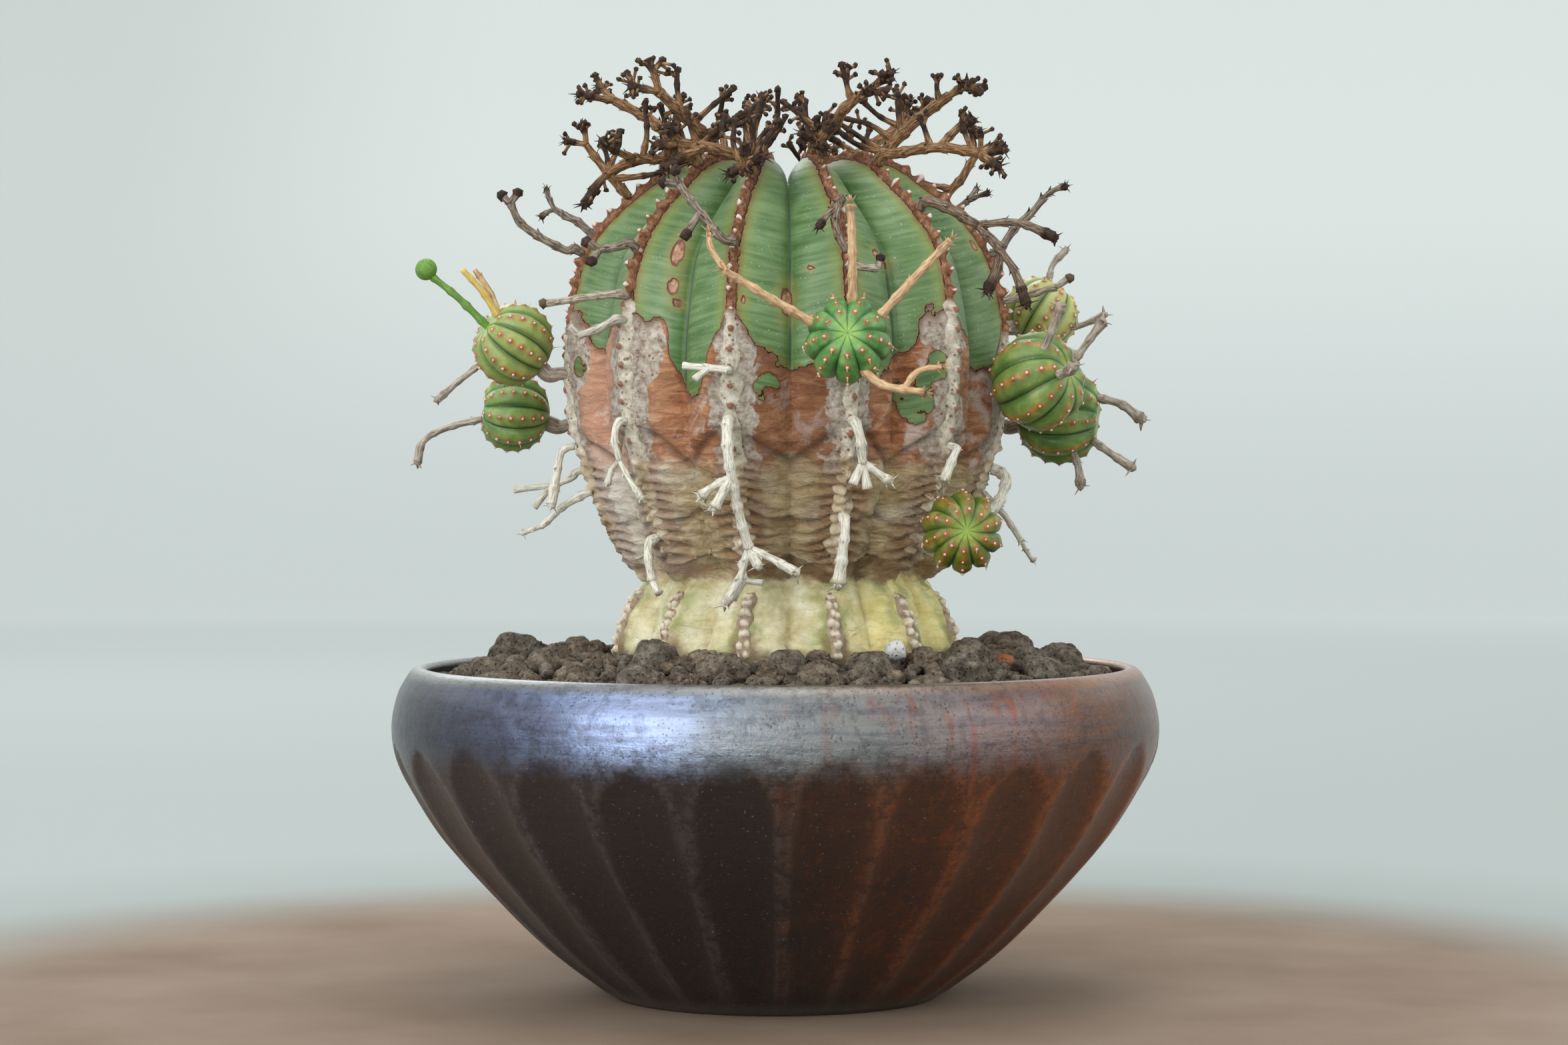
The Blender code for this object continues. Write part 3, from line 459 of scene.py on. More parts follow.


# %% [markdown]
# ## The glaze
# The bowl was fired in a kiln whose flame touched one side more than the other. So its dark,
# slightly metallic glaze runs from charcoal violet at the left to rust brown at the right, with
# fine dark specks where the glaze is thin. The colour follows the place on the bowl by ramps,
# one for the flutes and a lighter, bluer one for the shoulder, where the soft lamps lie as a
# silver band. That shoulder ramp's blue-silver is partly painted reflection of the band.

# %% Glaze finish
SHOULDER_WITH_PAINTED_REFLECTION = [(0.00, 56, 50, 58), (0.16, 84, 87, 108), (0.3, 150, 165, 202),
            (0.46, 118, 125, 133), (0.6, 128, 126, 124), (0.74, 126, 109, 108),
            (0.88, 114, 78, 58), (1.00, 92, 50, 24)]
FLUTED = [(0.00, 52, 45, 47), (0.3, 47, 39, 38), (0.5, 44, 36, 33),
          (0.66, 84, 48, 30), (0.82, 100, 55, 30), (1.00, 116, 64, 34)]
RIDGES = [(0.00, 96, 90, 98), (0.5, 92, 80, 76), (0.72, 146, 84, 48),
          (1.00, 172, 92, 44)]
LIP = [(0.0, 112, 112, 108), (0.55, 146, 142, 134), (0.85, 150, 100, 68),
       (1.0, 140, 88, 58)]


def make_glaze():
    """Dark metallic stoneware glaze, violet at one side and rust at the other."""
    glaze = Finish("kiln_glaze")
    axis = glaze.axes()
    cloud = glaze.noise(26.0, detail=6.0, rough=0.62, twist=0.5)
    drift = glaze.scaled(cloud, 0.06, -0.03)
    side = glaze.step(glaze.plus(axis["X"], drift), -0.088, 0.088, smooth=False)
    worn = glaze.noise(3.2, detail=7.0, rough=0.72)
    level = glaze.plus(axis["Z"], glaze.scaled(worn, 0.01, -0.005))
    high = glaze.step(level, 0.053, 0.061)
    # Above the flutes the shoulder ramp takes over: its own glaze, with a painted reflection of the
    # lamps' band in its blue-silver tones.
    skin = glaze.blend(glaze.tones(side, FLUTED), glaze.tones(side, SHOULDER_WITH_PAINTED_REFLECTION), high)
    streak = glaze.noise(3.0, detail=3.0, place=glaze.stretched(1.0, 1.0, 0.1))
    rusty = glaze.times(glaze.step(streak, 0.52, 0.7), glaze.step(side, 0.42, 0.75))
    skin = glaze.tint(skin, tone(138, 66, 30), rusty, 0.5)
    thrown = glaze.noise(1.7, detail=4.0, rough=0.6, place=glaze.stretched(0.1, 0.1, 1.0))
    darker = glaze.times(glaze.step(thrown, 0.44, 0.62), high)
    skin = glaze.tint(skin, tone(74, 72, 84), darker, 0.38)
    ridge = glaze.times(glaze.attribute("ridge"), glaze.step(worn, 0.34, 0.56))
    skin = glaze.tint(skin, glaze.tones(side, RIDGES), ridge, 0.5)
    scoop = glaze.attribute("scoop")
    skin = glaze.tint(skin, tone(30, 23, 20), scoop, 0.38)
    foot = glaze.step(axis["Z"], 0.004, 0.0008)
    skin = glaze.tint(skin, tone(92, 82, 74), foot, 0.7)
    skin = glaze.tint(skin, glaze.tones(side, LIP), glaze.attribute("lip"), 0.8)
    mottle = glaze.step(worn, 0.52, 0.4)
    skin = glaze.tint(skin, tone(44, 38, 44), mottle, 0.32)
    speck = glaze.cells(1.15)
    spots = glaze.times(glaze.step(speck, 0.3, 0.16), glaze.step(glaze.noise(5.0), 0.42, 0.58))
    skin = glaze.tint(skin, tone(18, 14, 15), spots, 0.46)
    dust = glaze.step(glaze.noise(0.7, detail=2.0), 0.66, 0.76)
    skin = glaze.tint(skin, tone(170, 160, 152), dust, 0.3)
    glaze.colour(skin)
    glaze.fill(glaze.shader, Metallic=glaze.scaled(high, 0.62, 0.22))
    satin = glaze.scaled(worn, 0.34, 0.14)
    glaze.roughness(glaze.scaled(scoop, 0.1, satin))
    glaze.fill(glaze.shader, Coat_Weight=0.25, Coat_Roughness=0.18)
    glaze.bumps((glaze.noise(0.9, detail=5.0, rough=0.7), 0.1),
                (worn, 0.22), (thrown, 0.16), (glaze.noise(9.0, detail=2.0), 0.3))
    return glaze


# %% [markdown]
# ## The bowl
# A potter throws the bowl on a wheel and then cuts the flutes with a loop tool. The script does
# the same: the outline is turned first, and each scoop is pressed in afterwards. A scoop is
# deepest in its middle, meets its neighbour in a sharp ridge and ends in a round arch below the
# shoulder.

# %% Bowl sizes, as in the solid
FLUTES = 25
FLUTE_TURN = -5.9
FLUTE_DEPTH = 1.5
FLUTE_TOP = 57.0
FLUTE_ARCH = 45.0
FOOT_RADIUS = 36.5
FOOT_INNER = 31.0
FOOT_RECESS = 2.6
FLOOR_TOP = 8.0
DRAIN_RADIUS = 10.0
RIM_HEIGHT = 73.5
BOWL_OUTSIDE = [(39.5, 2), (51.1, 10.8), (63, 22.7), (73.6, 34.6), (80.4, 45),
                (84.3, 53), (85.4, 60.4), (84.1, 67.3), (82.2, 71)]
RIM_LIP = [(81.3, 72.3), (80.2, 73.2), (79.2, RIM_HEIGHT), (78.2, 73.35), (77.65, 72.8)]
BOWL_INSIDE = [(77.6, 72), (80.6, 62), (77, 47), (54, 20.5)]
BOWL_FLOOR = [(28.0, FLOOR_TOP), (DRAIN_RADIUS, FLOOR_TOP), (DRAIN_RADIUS, FOOT_RECESS),
              (FOOT_INNER - 1.0, FOOT_RECESS), (FOOT_INNER, 0.0), (FOOT_RADIUS - 0.6, 0.0),
              (FOOT_RADIUS, 0.5)]
BOWL_STEP = 1.3
BOWL_STEPS = 16 * FLUTES


# %% Scoops
def flute_depth(height):
    """How deep a flute is at a height: none above its rounded top, shallow at the foot."""
    depths = [(1.0, 0.0), (6.0, 0.7), (30.0, 1.0), (51.0, 0.95), (FLUTE_TOP, 0.35)]
    return FLUTE_DEPTH * mix(depths, height)


def flute_half(height):
    """A flute's half width there, as a share of its pitch: full below, an arch at its top."""
    if height >= FLUTE_TOP:
        return 0.0
    if height <= FLUTE_ARCH:
        return mix([(0.0, 0.4), (30.0, 0.47), (FLUTE_ARCH, 0.44)], height)
    rise = (height - FLUTE_ARCH) / (FLUTE_TOP - FLUTE_ARCH)
    return 0.44 * math.sqrt(1.0 - rise * rise)


def scooped(radius, height, turn):
    """The radius after the flutes are cut, and how much of a scoop and of a ridge is there."""
    pitch = 360.0 / FLUTES
    away = ((turn - FLUTE_TURN) / pitch + 0.5) % 1.0 - 0.5
    number = round((turn - FLUTE_TURN) / pitch - away)
    sway = 0.03 * math.sin(2.4 * number) + 0.015 * math.sin(height / 7.0 + number)
    half = flute_half(height - 1.2 * math.sin(1.7 * number))
    share = abs(away - sway) / half if half > 0.02 else 2.0
    if share >= 1.0 or not 0.5 < height < FLUTE_TOP + 1.5:
        rim = fade(1.35, 1.0, share) * fade(2.0, 9.0, height)
        return radius, 0.0, rim if height < FLUTE_TOP else 0.0
    cut = flute_depth(height) * (1.0 - share ** 2.4)
    return radius - cut, 1.0 - share ** 3, fade(0.86, 1.0, share) * fade(2.0, 9.0, height)


# %% The fluted bowl
def make_bowl():
    """Turn the bowl with its foot ring, floor and drain hole, and cut the flutes."""
    outside = [tuple(p) for p in curve_through(BOWL_OUTSIDE, BOWL_STEP)]
    outline = outside + RIM_LIP + BOWL_INSIDE + BOWL_FLOOR
    bm, mark = turned(outline, BOWL_STEPS, closed=True, start=FLUTE_TURN)
    scoop, ridge, lip = [], [], []
    rim = range(len(outside), len(outside) + len(RIM_LIP))
    for vert in bm.verts:
        number = vert[mark]
        depth, edge = 0.0, 0.0
        if number < len(outside):
            radius, height = outline[number]
            turn = turn_of(vert.co)
            radius, depth, edge = scooped(radius, height, turn)
            vert.co = at_turn(radius, height, turn)
            throw = 0.1 * rough_at(vert.co, 24.0, 5.0) - 0.1
            vert.co += Vector((vert.co.x, vert.co.y, 0.0)).normalized() * throw
        scoop.append(depth)
        ridge.append(edge)
        lip.append(1.0 if number in rim else 0.0)
    values = {"scoop": scoop, "ridge": ridge, "lip": lip}
    return as_piece("fluted_bowl", bm, make_glaze(), ["pot"], values)


make_bowl()

# %% [markdown]
# ## The stem's shape
# The stem is one grown body: twelve ribs with a narrow groove between each pair. It could be
# sculpted, but a rule keeps it even all round: spin the outline of a crest, then push every
# point inwards by how far it lies from its crest. The named sizes are those of the solid, and
# the rings are nearly eight times finer.

# %% Stem sizes, as in the solid
GAP = 0.3
STEM_X = 2.3
RIBS = 12
RIB_TURN = -13.7
CROWN = [(0, 178), (6, 181)]
CREST = [(12, 184.8), (18, 186), (25, 184.3), (31.5, 179.6), (39.6, 172.9),
         (45.9, 164.2), (49, 152), (50.1, 139.5), (48.6, 126), (45.2, 115.5),
         (41.2, 106), (37.4, 98)]
NECK = [(36.6, 95.6), (33.4, 93.6), (31.6, 92.2), (33.4, 90.4)]
BASE = [(36, 86.4), (37.6, 82.4), (38.6, 78.4)]
ROOT = [(38.6, 75.6), (36, 63), (26, 54), (0, 51.5)]
STATION_STEP = 5.25
VALLEYS = [(74, 0), (76.5, 0.6), (80, 3.6), (86, 4.4), (92, 3.4), (98, 4),
           (112, 4.6), (132, 5.4), (152, 6), (172, 6.6), (186, 6.4)]
VALLEY_BY_RADIUS = 0.42
NECK_HEIGHT = 92.5
NECK_LIFT = 3.0
NECK_SPREAD = 5.0


# %% Stations along the crest
class Station:
    """A place along the crest's outline: its radius and height, its outward normal, and the
    depth of the valleys there."""

    def __init__(self, before, here, after):
        self.radius, self.height = here
        along = (Vector(after) - Vector(before)).normalized()
        self.out = Vector((-along.y, along.x))
        depth = mix(VALLEYS, self.height)
        self.depth = min(depth, VALLEY_BY_RADIUS * self.radius)

    def outline_point(self, share, lift=0.0):
        """The outline here, at a share of the way from a crest (0) to a valley (1)."""
        inset = self.depth * (0.6 * share + 0.4 * share ** 6) - lift
        radius = self.radius - self.out.x * inset
        height = self.height - self.out.y * inset
        near = bell(self.height, NECK_HEIGHT, NECK_SPREAD)
        return radius, height + NECK_LIFT * share * near

    def point(self, turn, lift=0.0):
        """The stem's surface here at a turn, lifted off it along the outline's normal."""
        radius, height = self.outline_point(valley_share(turn), lift)
        return at_turn(radius, height, turn) + Vector((STEM_X, 0, 0))


def valley_share(turn):
    """0 on a crest, 1 in the valley half way to the next one."""
    half = 180.0 / RIBS
    away = (turn - RIB_TURN) % (2 * half)
    return min(away, 2 * half - away) / half


def rib_turn(rib):
    """The turn of a rib's crest."""
    return RIB_TURN + 360.0 / RIBS * rib


def stations_along(outline):
    """A station for each point of an outline that runs from the crown to the root."""
    padded = [(-outline[1][0], outline[1][1])] + outline + [(0.0, outline[-1][1] - 1.0)]
    return [Station(*three) for three in zip(padded, padded[1:], padded[2:])]


def solid_stations():
    """The coarse stations of the solid, and the slice of them that carries the margins."""
    middle = [tuple(p) for p in curve_through(CREST, STATION_STEP)]
    stations = stations_along(CROWN + middle + NECK + BASE + ROOT)
    return stations, stations[len(CROWN):len(CROWN) + len(middle)]


STATIONS, MARGIN = solid_stations()
print("the solid's stem has", len(STATIONS), "stations,", len(MARGIN), "of them with a margin")

# %% [markdown]
# ## Where the skin is still green
# An old stem corks over from below. The green ends at a ragged line that dips in the valleys
# and climbs along the crests. That line is a design choice, so it is a short table of heights
# by turn, and noise frays it. Green islands, scars and chalky patches are ovals, each with a
# turn, a height, a half width and a half height.

# %% Green edge, scars and creases
GREEN_EDGE = [(-180, 141), (-165, 148), (-150, 139), (-135, 150), (-120, 140), (-105, 149),
              (-90, 141), (-74, 152), (-66, 150), (-58.7, 142.5), (-50, 150), (-43.7, 152),
              (-38, 151), (-34, 149.5), (-31.5, 141), (-28.7, 133.5), (-22, 134), (-18, 146),
              (-13.7, 151), (-9, 147), (-4, 140.5), (1.3, 139), (9, 140), (16, 143), (24, 138),
              (31.3, 140), (34.5, 142), (38, 150), (46.3, 153), (52, 149), (61, 139), (70, 142),
              (76, 150), (90, 142), (105, 150), (120, 139), (135, 150), (150, 139), (165, 149),
              (180, 141)]
GREEN_ISLANDS = [(-5, 134.5, 3.6, 4), (36, 132, 5, 6.5), (41, 139, 3.2, 4),
                 (-67, 139.5, 2.8, 2.8), (112, 131, 3.5, 4.5), (-140, 130, 4, 4.5)]
SCARS = [(-33, 165, 1.3, 3.4), (-32.5, 157, 1.2, 2), (-31.2, 153.4, 0.9, 1),
         (0.2, 153.6, 1.4, 3.2), (26.4, 164.4, 1.1, 1.2), (30.4, 163.3, 1.2, 1.5),
         (-10.8, 153.2, 0.7, 0.8), (6.6, 160.6, 0.7, 0.7), (-50, 168, 1, 1.8),
         (58, 160, 1.3, 1.6), (95, 158, 1.5, 2.6), (128, 165, 1.2, 2),
         (158, 156, 1.4, 2.4), (-165, 162, 1.2, 1.6), (-118, 157, 1.5, 2.8),
         (-96, 165, 1, 1.4), (72, 167, 0.9, 1.3)]
CHALK = [(-38.5, 143, 4.8, 8.5), (-41, 131, 3.6, 8), (-10.5, 143.5, 3, 6),
         (-13, 130, 2.6, 7), (41, 148, 5, 5), (45, 136, 2.6, 8),
         (17.5, 136, 2.2, 5), (-69, 142, 5, 8), (76, 142, 4.4, 8),
         (103, 144, 5, 6), (137, 141, 4.5, 8), (168, 144, 5, 5.5),
         (-161, 140, 4.6, 7), (-131, 145, 4.2, 6), (-104, 142, 5, 7.5)]
CREASE_CREST = 125.0
CREASE_DROP = 8.5
SKIRT_HEIGHT = 94.5


def oval(turn, height, radius, spots, halo=1.0):
    """How deep inside any of the (turn, height, half width, half height) ovals a place lies."""
    found = 0.0
    for where, level, wide, tall in spots:
        across = ((turn - where + 180.0) % 360.0 - 180.0) * math.pi / 180.0 * radius
        away = math.hypot(across / wide, (height - level) / tall) / halo
        found = max(found, fade(1.35, 0.65, away))
    return found


def above_green_edge(turn, height, radius, point):
    """Millimetres above the green's ragged lower edge, or below it if negative."""
    edge = mix(GREEN_EDGE, (turn + 180.0) % 360.0 - 180.0)
    edge += 2.2 * rough_at(point, 7.0, 3.0) + 1.1 * rough_at(point, 2.4, 9.0)
    island = oval(turn, height, radius, GREEN_ISLANDS)
    ragged = (0.9 + 2.2 * island) * rough_at(point, 2.6, 4.0)
    return max(height - edge, 8.0 * island - 7.2 + ragged)


# %% [markdown]
# ## Wrinkles
# Corked skin shrinks as it dries. It folds in short ridges that stand square to each crest, in
# finer wrinkles that run round the stem, and in one long crease that hangs from crest to crest
# like a garland. Each of these is a small formula that moves a vertex in or out; where they are
# seen from a step away they are real relief, and only the finest are left to the shader. The
# creases and the pleats' troughs are also darkened in the finish: painted shade.

# %% The stem's relief
STEM_RING_STEP = 0.68
STEM_STEPS = 30 * RIBS
PLEAT_PITCH = 2.3


def pleats(height, across, crest, point):
    """Short ridges square to the crest, from -1 to 1, with their strength."""
    wander = 0.9 * rough_at(point, 8.0, 1.0)
    wave = math.sin(math.tau * (height + 0.35 * crest + wander + across) / PLEAT_PITCH)
    strength = bell(crest, 1.2, 5.2) * fade(124.0, 114.0, height) * fade(94.0, 98.0, height)
    return wave * strength


# %% All relief at one place
def relief(station, turn, share, point):
    """How far a vertex moves out or in, and the marks that its finish reads."""
    height, radius = station.height, station.radius
    crest = share * math.pi / RIBS * radius
    side = 1.3 if (turn - RIB_TURN) % (360.0 / RIBS) < 180.0 / RIBS else 0.0
    green = above_green_edge(turn, height, radius, point)
    corked = fade(1.0, -2.0, green)
    fold = pleats(height, side, crest, point)
    flat = Vector((point.x, point.y, 2.8 * point.z))
    shrunk = 1.0 - abs(rough_at(flat, 7.0, 6.0))
    garland = CREASE_CREST - CREASE_DROP * share ** 1.5 + 1.2 * rough_at(point, 11.0, 8.0)
    crease = bell(height, garland, 1.1) * fade(0.05, 0.35, share)
    low = 105.5 + 2.5 * rough_at(point, 16.0, 7.0)
    crease = max(crease, 0.75 * bell(height, low, 0.9) * fade(0.25, 0.6, share))
    bulge = bell(height, garland + 4.5, 3.4) * fade(0.0, 0.5, share)
    stem = fade(92.0, 96.0, height)
    push = stem * corked * (0.75 * fold + 0.34 * (shrunk - 0.6) + 0.5 * rough_at(point, 9.0))
    push += stem * (0.7 * bulge - 1.25 * crease)
    push += 0.3 * rough_at(point, 17.0, 2.0) * fade(0.0, 30.0, radius)
    skirt = bell(height, SKIRT_HEIGHT, 2.6)
    push += skirt * (0.9 * rough_at(point, 4.6, 5.0) + 0.5 * rough_at(point, 2.0, 6.0))
    base = 1.0 - stem
    push += base * (0.55 * rough_at(point, 3.6, 4.0) + 0.45 * rough_at(point, 9.0, 3.0))
    push -= 0.35 * fade(0.9, 1.0, share) * (1.0 - corked) * fade(4.0, 12.0, radius)
    # Painted shade: the crease mark darkens the garland crease, the low crease and the pleats'
    # troughs.
    shade = max(crease, 0.8 * fade(0.5, -0.7, fold) * bell(crest, 1.2, 5.2) * corked)
    return push, {"green": green, "crest": crest, "valley": fade(0.86, 1.0, share),
                  "crease": shade * stem, "scar": oval(turn, height, radius, SCARS),
                  "halo": oval(turn, height, radius, SCARS, 2.0),
                  "chalk": oval(turn, height, radius, CHALK)}


# %% The stem's mesh
def make_stem_mesh():
    """Turn the fine outline and give every vertex its relief and its marks."""
    above = [tuple(p) for p in curve_through(CROWN + CREST + NECK + BASE + ROOT[:1],
                                             STEM_RING_STEP)]
    stations = stations_along(above + ROOT[1:])
    outline = [(max(0.0, s.radius), s.height) for s in stations]
    bm, mark = turned(outline, STEM_STEPS, closed=False, start=RIB_TURN)
    marks = {name: [] for name in ("green", "crest", "valley", "crease", "scar", "halo", "chalk")}
    for vert in bm.verts:
        station = stations[vert[mark]]
        turn = turn_of(vert.co)
        share = valley_share(turn)
        if station.radius > 0.01:
            surface = station.point(turn)
            push, found = relief(station, turn, share, surface)
            shown = fade(71.0, 74.0, station.height)
            vert.co = station.point(turn, lift=push * shown)
        else:
            vert.co.x += STEM_X
            found = {"green": 20.0, "crest": 0.0, "valley": 1.0, "crease": 0.0, "scar": 0.0,
                     "halo": 0.0, "chalk": 0.0}
        for name in marks:
            marks[name].append(found[name])
    return bm, marks


# %% [markdown]
# ## The stem's skin
# Three skins meet on one body: waxy green with faint stripes across the ribs, rust and lilac
# cork with chalky patches under it, and grey-tan folds below. The base is mossy cream. The vertex
# marks say roughly where each begins, and fine noise added to a mark before it is cut gives a
# crisp, ragged border with no picture of it anywhere.

# %% Stem finish
def flank_place(skin):
    """Coordinates that follow a flank: slow from crest to groove, quick up the stem."""
    axis = skin.axes()
    crest = skin.attribute("crest")
    slant = skin.scaled(crest, 0.00022, axis["Z"])
    place = skin.fill(skin.add("ShaderNodeCombineXYZ"), X=skin.times(axis["X"], 0.1),
                      Y=skin.times(axis["Y"], 0.1), Z=slant)
    return place.outputs[0], axis, crest


# %% Green skin
def green_skin(skin, stripes, crest):
    """Waxy green: cloudy, striped across the ribs, with pale flecks and a dark groove."""
    cloud = skin.noise(9.0, detail=4.0)
    green = skin.tones(cloud, [(0.3, 64, 98, 48), (0.5, 86, 116, 61), (0.7, 108, 133, 84)])
    green = skin.blend(green, skin.tones(stripes, [(0.36, 58, 92, 42), (0.64, 128, 150, 108)]),
                       0.44)
    fleck = skin.cells(0.95)
    flecks = skin.times(skin.step(fleck, 0.2, 0.1), skin.step(skin.noise(3.0), 0.42, 0.6))
    green = skin.tint(green, tone(178, 196, 168), flecks, 0.55)
    valley = skin.attribute("valley")
    green = skin.tint(green, tone(70, 108, 44), valley, 0.55)
    line = skin.step(valley, 0.66, 0.97)
    green = skin.tint(green, tone(34, 62, 26), line, 0.85)
    warm = skin.step(crest, 5.2, 2.0)
    return skin.tint(green, tone(128, 138, 62), warm, 0.5)


# %% Cork skin
def cork_skin(skin, axis):
    """Rust with lilac veils above, grey-tan folds below."""
    flat = skin.stretched(1.0, 1.0, 3.2)
    folds = skin.noise(5.5, detail=6.0, rough=0.62, place=flat, twist=0.8)
    rust = skin.tones(folds, [(0.28, 98, 56, 36), (0.44, 148, 89, 54),
                              (0.58, 178, 122, 82), (0.74, 202, 164, 138)])
    veil = skin.noise(10.0, detail=5.0, rough=0.65, twist=0.5)
    rust = skin.tint(rust, tone(206, 188, 178), skin.step(veil, 0.52, 0.64), 0.72)
    rust = skin.tint(rust, tone(122, 126, 60), skin.step(veil, 0.42, 0.34), 0.38)
    # Painted light: the stem's left side is lightened, on the rust and on the tan, where the lamps
    # leave it too dark.
    left = skin.step(axis["X"], -0.014, -0.04)
    middle = skin.times(skin.step(axis["X"], -0.012, -0.002), skin.step(axis["X"], 0.024, 0.012))
    rust = skin.tint(rust, tone(226, 180, 156), left, 0.42)
    rust = skin.tint(rust, tone(100, 62, 36), middle, 0.54)
    tan = skin.tones(folds, [(0.26, 112, 90, 60), (0.42, 157, 133, 94),
                             (0.58, 196, 176, 138), (0.76, 220, 208, 182)])
    lilac = skin.noise(13.0, detail=3.0)
    tan = skin.tint(tan, tone(206, 192, 180), skin.step(lilac, 0.52, 0.66), 0.42)
    tan = skin.tint(tan, tone(238, 230, 226), left, 0.66)
    tan = skin.tint(tan, tone(112, 88, 52), middle, 0.4)
    wander = skin.scaled(veil, 0.016, -0.008)
    level = skin.plus(axis["Z"], wander)
    return skin.blend(tan, rust, skin.step(level, 0.1155, 0.1215)), folds


# %% Base skin
def base_skin(skin, axis, crest):
    """Cream base, mossy by the crests, stained by the grit and yellower at the right, where it is
    also painted lighter against its shade.
    """
    cloud = skin.noise(5.0, detail=5.0, rough=0.6)
    cream = skin.tones(cloud, [(0.3, 186, 170, 120), (0.52, 220, 208, 168), (0.72, 241, 234, 208)])
    # Yellower at the right, and lighter there: the lift in brightness is painted light against the
    # shade on that side.
    right = skin.step(axis["X"], 0.006, 0.028)
    cream = skin.tint(cream, tone(250, 234, 140), right, 0.52)
    moss = skin.times(skin.step(skin.noise(6.5, detail=4.0), 0.44, 0.62),
                      skin.step(crest, 9.0, 2.0))
    cream = skin.tint(cream, tone(150, 158, 92), moss, 0.75)
    stain = skin.times(skin.step(axis["Z"], 0.085, 0.079),
                       skin.step(skin.scaled(cloud, 6.0, crest), 7.4, 5.2))
    return skin.tint(cream, tone(112, 72, 50), stain, 0.62)


# %% The skins joined
def make_skin():
    """The stem's three skins, joined along ragged borders."""
    skin = Finish("living_skin", specular=0.45)
    flank, axis, crest = flank_place(skin)
    stripes = skin.noise(0.95, detail=3.0, rough=0.5, place=flank)
    fine = skin.noise(1.5, detail=5.0, rough=0.62)
    fray = skin.scaled(fine, 3.2, -1.6)
    edge = skin.plus(skin.attribute("green"), fray)
    ragged_crest = skin.plus(crest, skin.times(fray, 0.55))
    living = skin.times(skin.step(edge, -0.15, 0.15), skin.step(ragged_crest, 0.85, 1.25))
    cork, folds = cork_skin(skin, axis)
    broad = skin.noise(6.5, detail=5.0, rough=0.6)
    patch = skin.plus(ragged_crest, skin.scaled(broad, 14.0, -7.0))
    spread = skin.scaled(broad, 1.6, skin.attribute("chalk"))
    spread = skin.scaled(fine, 0.5, spread)
    patched = skin.sums("MAXIMUM", skin.step(patch, 5.0, 4.3), skin.step(spread, 1.5, 1.66))
    white = skin.times(patched, skin.step(axis["Z"], 0.112, 0.124))
    brown_rim = skin.step(patch, 6.4, 5.0)
    cork = skin.tint(cork, tone(140, 88, 62), brown_rim, 0.4)
    chalk = skin.tones(fine, [(0.34, 128, 108, 90), (0.5, 178, 166, 152), (0.7, 212, 205, 196)])
    pits = skin.times(skin.step(skin.cells(1.5), 0.3, 0.16), skin.step(broad, 0.42, 0.56))
    chalk = skin.tint(chalk, tone(112, 72, 50), pits, 0.8)
    cork = skin.tint(cork, chalk, white, 0.92)
    rim = skin.step(edge, -2.2, -0.2)
    cork = skin.tint(cork, tone(108, 60, 38), rim, 0.75)
    cork = skin.tint(cork, tone(112, 62, 40), skin.step(skin.attribute("green"), 1.0, 5.0), 0.9)
    green = green_skin(skin, stripes, crest)
    green = skin.tint(green, tone(112, 96, 44), skin.step(edge, 1.5, 0.2), 0.7)
    green = skin.tint(green, tone(124, 88, 44), skin.step(ragged_crest, 2.6, 1.2), 0.7)
    surface = skin.blend(cork, green, living)
    surface = skin.tint(surface, tone(142, 132, 66), skin.attribute("halo"), 0.42)
    scar = skin.plus(skin.attribute("scar"), skin.times(fray, 0.24))
    surface = skin.blend(surface, tone(116, 66, 42), skin.step(scar, 0.36, 0.52))
    healed = skin.tones(fine, [(0.38, 128, 78, 52), (0.6, 184, 146, 116)])
    surface = skin.blend(surface, healed, skin.step(scar, 0.7, 0.95))
    # Painted shade in the creases and the pleats' troughs, from the crease mark.
    surface = skin.tint(surface, tone(78, 58, 42), skin.attribute("crease"), 0.62)
    wavy = skin.scaled(broad, 0.008, -0.004)
    low = skin.plus(skin.plus(axis["Z"], wavy), skin.times(fray, 0.0005))
    surface = skin.blend(surface, base_skin(skin, axis, crest), skin.step(low, 0.0945, 0.0925))
    soil_stain = skin.step(low, 0.08, 0.0765)
    surface = skin.tint(surface, tone(112, 92, 66), soil_stain, 0.75)
    skin.colour(surface)
    wax = skin.scaled(fine, 0.2, 0.34)
    dry = skin.scaled(folds, 0.12, 0.76)
    skin.roughness(skin.blend(dry, wax, living, "FLOAT"))
    dead = skin.rest_of(living)
    skin.bumps((skin.times(folds, dead), 0.85), (skin.times(fine, dead), 0.45),
               (skin.times(stripes, living), 0.16), (skin.step(scar, 0.9, 0.4), 0.25))
    skin.fill(skin.shader, Sheen_Weight=0.08)
    return skin


stem_mesh, stem_marks = make_stem_mesh()
as_piece("ribbed_stem", stem_mesh, make_skin(), ["stem"], stem_marks)

# %% [markdown]
# ## Where the stalks and offsets grow
# Dried flower stalks and small round offsets grow from the crests. Those that the front shows
# are listed one by one; the rest follow a seeded rule, so the sides and back are as full as the
# front. The lists and the order of the random draws are the solid's own, because each fine
# stalk has to lie where its plain one lies.

